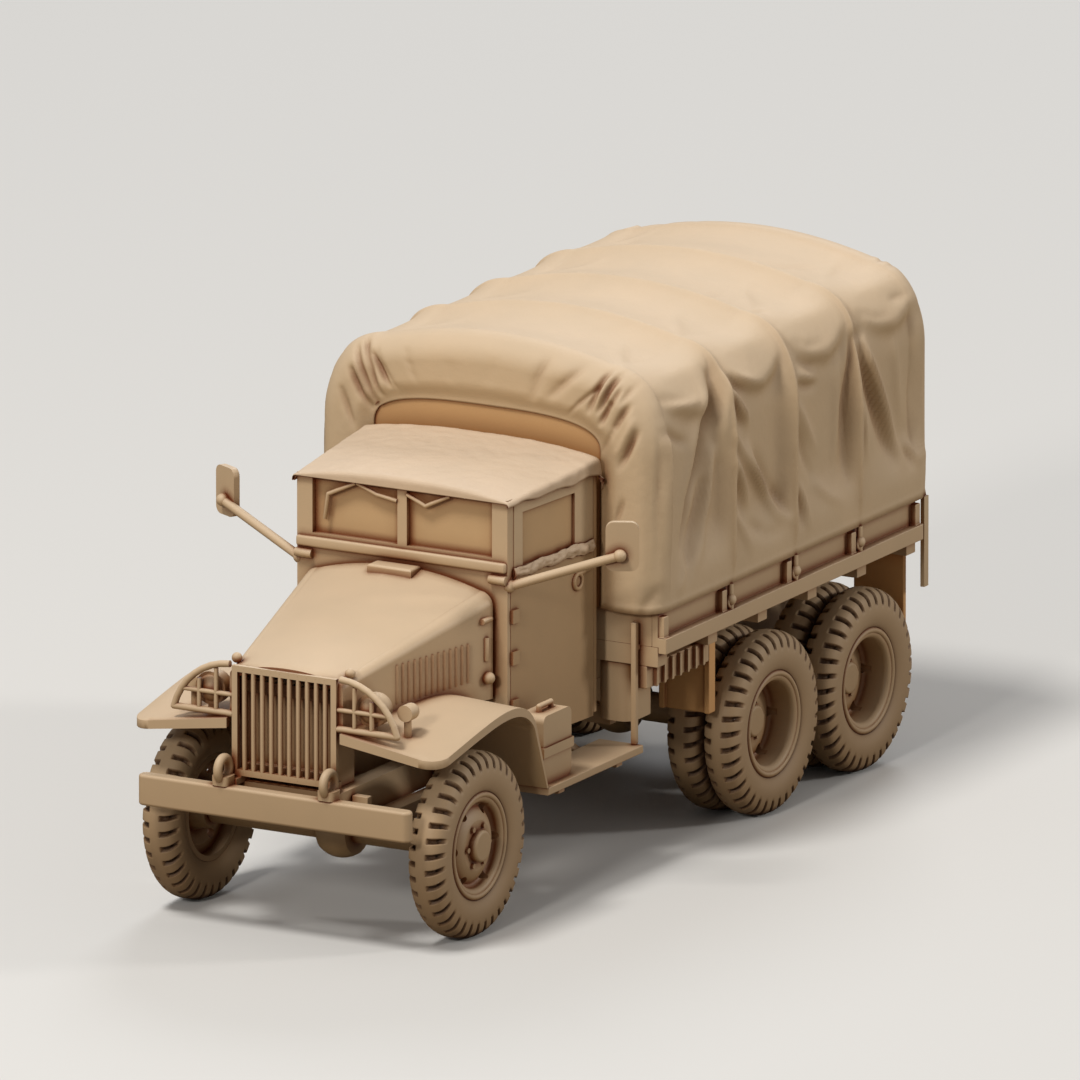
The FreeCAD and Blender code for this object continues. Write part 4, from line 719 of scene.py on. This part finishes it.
def makeBeltCloths():
    # The lower edge of each side curtain is crumpled where it is tucked over the door
    span = beltCloth["rear"] - beltCloth["front"]
    for side, sign in (("left", 1), ("right", -1)):
        bm = bmesh.new()
        bmesh.ops.create_grid(bm, x_segments=beltCloth["columns"], y_segments=beltCloth["rows"], size=0.5)
        for vert in bm.verts:
            along, up = vert.co.x + 0.5, vert.co.y + 0.5
            y = beltCloth["front"] + span * along
            low = beltCloth["bottom"] + beltCloth["wave"] * lumps(y, sign * 3, 0, 2.4)
            high = beltCloth["top"] + beltCloth["wave"] * 0.8 * lumps(y, sign * 9, 4, 3.0)
            z = low + (high - low) * up
            crumple = 0.7 + 0.9 * lumps(y, z * 1.4, sign * 5, 1.6)
            swell = 0.16 + beltCloth["swell"] * math.sin(math.pi * up) * crumple
            vert.co = Vector((sign * (cabHalfAt(y) - beltCloth["inset"] + swell), y, z)) * millimetre
        piece = bmeshPiece("belt_cloth_%s" % side, bm, "printed_roof", outward=Vector((sign, 0, 0)))
        wall = piece.modifiers.new("cloth", "SOLIDIFY")
        wall.thickness = beltCloth["thickness"]
        wall.offset = 0
    print("belt cloths")


def makeLedge():
    bm = bmesh.new()
    bmesh.ops.create_cube(bm, size=1.0)
    size = (2 * ledge["half"], ledge["rear"] - ledge["front"], ledge["top"] - ledge["bottom"])
    bmesh.ops.scale(bm, vec=[side * millimetre for side in size], verts=bm.verts)
    middle = (0, (ledge["front"] + ledge["rear"]) / 2, (ledge["bottom"] + ledge["top"]) / 2)
    bmesh.ops.translate(bm, vec=[value * millimetre for value in middle], verts=bm.verts)
    bmesh.ops.bevel(bm, geom=bm.edges, offset=ledge["round"], offset_type="OFFSET", segments=3, profile=0.5,
                    affect="EDGES", material=-1)
    bmeshPiece("windscreen_ledge", bm, "printed_tan")
    print("ledge")


# Tyres
tyre = {
    "lugs": 36,
    "samples": 16,
    "slotShare": 0.30,
    "slotDepth": 1.15,
    "sweep": 0.42,
    "width": 6.3,
    "wallFrom": 2.7,
    "merge": 0.0005,
}

# Half of the tyre's section from the middle of the tread to the bead: across and radius, then the share of
# the slot's depth that is cut there
tyreSection = (
    (0.00, 15.00, 0.00), (0.55, 14.99, 0.00), (0.86, 14.97, 0.00), (0.94, 14.96, 0.90), (1.40, 14.86, 1.00),
    (1.90, 14.64, 1.00), (2.32, 14.32, 1.00), (2.62, 13.93, 1.00), (2.82, 13.48, 0.85), (2.96, 13.00, 0.55),
    (3.04, 12.62, 0.20), (3.08, 12.30, 0.00), (3.13, 11.70, 0.00), (3.12, 11.05, 0.00), (3.02, 10.40, 0.00),
    (2.84, 9.80, 0.00), (2.62, 9.25, 0.00), (2.40, 8.86, 0.00), (2.30, 8.72, 0.00), (1.90, 8.70, 0.00),
    (0.00, 8.70, 0.00),
)


def treadBmesh():
    # The section is spun round the axle, then each slot is pressed in and swept back towards the shoulder
    bm = bmesh.new()
    half = [(x, r) for x, r, cut in tyreSection]
    line = [bm.verts.new((x, 0, r)) for x, r in half[::-1]]
    line += [bm.verts.new((-x, 0, r)) for x, r in half[1:-1]]
    edges = [bm.edges.new(pair) for pair in zip(line, line[1:] + line[:1])]
    steps = tyre["lugs"] * tyre["samples"]
    bmesh.ops.spin(bm, geom=line + edges, cent=(0, 0, 0), axis=(1, 0, 0), angle=2 * math.pi, steps=steps,
                   use_merge=True, use_duplicate=False)
    bmesh.ops.remove_doubles(bm, verts=bm.verts, dist=tyre["merge"])
    pitch = 2 * math.pi / tyre["lugs"]
    depths = {(round(x, 3), round(r, 3)): cut for x, r, cut in tyreSection}
    for vert in bm.verts:
        x, y, z = vert.co
        radius, turn = math.hypot(y, z), math.atan2(y, z)
        cut = depths.get((round(abs(x), 3), round(radius, 3)), 0.0)
        phase = (turn / pitch) % 1.0
        pressed = min(1, max(0, (tyre["slotShare"] / 2 - abs(phase - 0.5)) * tyre["samples"] + 0.5))
        depth = tyre["slotDepth"] * cut * pressed
        share = abs(x) / (tyre["width"] / 2)
        turn += tyre["sweep"] * pitch * max(0, share - 0.35) ** 2 + (0.5 * pitch if x < -0.01 else 0)
        radius -= depth * (0.35 if abs(x) > tyre["wallFrom"] else 0.95)
        across = math.copysign(abs(x) - depth * min(1, max(0, share - 0.55) * 2.2), x)
        vert.co = (across, radius * math.sin(turn), radius * math.cos(turn))
    bmesh.ops.recalc_face_normals(bm, faces=bm.faces)
    bmesh.ops.scale(bm, vec=(millimetre, millimetre, millimetre), verts=bm.verts)
    return bm


def makeTyres():
    tread = treadBmesh()
    width = tyre["width"] * millimetre
    for place in ("front", "mid", "rear"):
        for side, sign in (("left", 1), ("right", -1)):
            node = "tyre_%s_%s" % (place, side)
            low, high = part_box(node)
            middle = (low + high) / 2
            outer = (high[0] if sign > 0 else low[0]) - sign * width / 2
            inner = (low[0] if sign > 0 else high[0]) + sign * width / 2
            places = {"outer": outer} if place == "front" else {"outer": outer, "inner": inner}
            for name, across in places.items():
                bm = tread.copy()
                bmesh.ops.translate(bm, vec=(across, middle[1], middle[2]), verts=bm.verts)
                wheel = "wheel_%s_%s" % (place, side)
                piece = bmeshPiece("%s_%s" % (node, name), bm, "printed_tyre", wheel)
                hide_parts(node)
    tread.free()
    print("tyres")


# Finish of the CAD nodes; the front curtain, mud flaps, doors and cab back take finishes with painted shade
# and painted glow
nodeFinish = {
    "front_curtain": "printed_arch_shade", "mud_flaps": "printed_flap_glow", "cab_roof": "printed_canvas",
    "side_curtains": "printed_canvas",
    "tie_ropes": "printed_canvas", "windscreen_panes": "printed_pane", "side_panes": "printed_pane",
    "doors": "printed_shaded_panel",
    "cab_back": "printed_shaded_panel",
}
softEdges = {
    "hood": 0.00030, "cowl": 0.00040, "doors": 0.00022, "fenders": 0.00028,
    "bed_sides": 0.00020, "cab_roof": 0.00030, "side_curtains": 0.00015, "windscreen_frame": 0.00030,
    "running_boards": 0.00020, "side_lockers": 0.00020, "mud_flaps": 0.00025, "step_posts": 0.00025,
    "headboard": 0.00020, "tailgate": 0.00020, "frame_rails": 0.00015, "springs_front": 0.00012,
    "springs_rear": 0.00012, "radiator": 0.00015, "transfer_case": 0.00040, "engine": 0.00040,
    "bows": 0.00015,
    "front_curtain": 0.00015, "mirrors": 0.00025,
    "seat": 0.00050, "cab_back": 0.00015, "cab_floor": 0.00015, "bed_floor": 0.00012,
}


def finishNodes():
    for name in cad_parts:
        piece = bpy.data.objects[name]
        finish = nodeFinish.get(name, "printed_tyre" if name.startswith("tyre") else "printed_tan")
        piece.data.materials.clear()
        piece.data.materials.append(materials[finish])
        width = softEdges.get(name, 0)
        if width:
            weld = piece.modifiers.new("weld", "WELD")
            weld.merge_threshold = 0.000002
            bevel = piece.modifiers.new("softEdge", "BEVEL")
            bevel.width = width
            bevel.segments = 2
            bevel.limit_method = "ANGLE"
            bevel.angle_limit = math.radians(32)
            bevel.harden_normals = True
            bevel.use_clamp_overlap = True
    print("nodes", len(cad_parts))


makeStudio()
makeCamera()
makeCover()
makeCabRoof()
makeBeltCloths()
makeLedge()
makeTyres()
finishNodes()
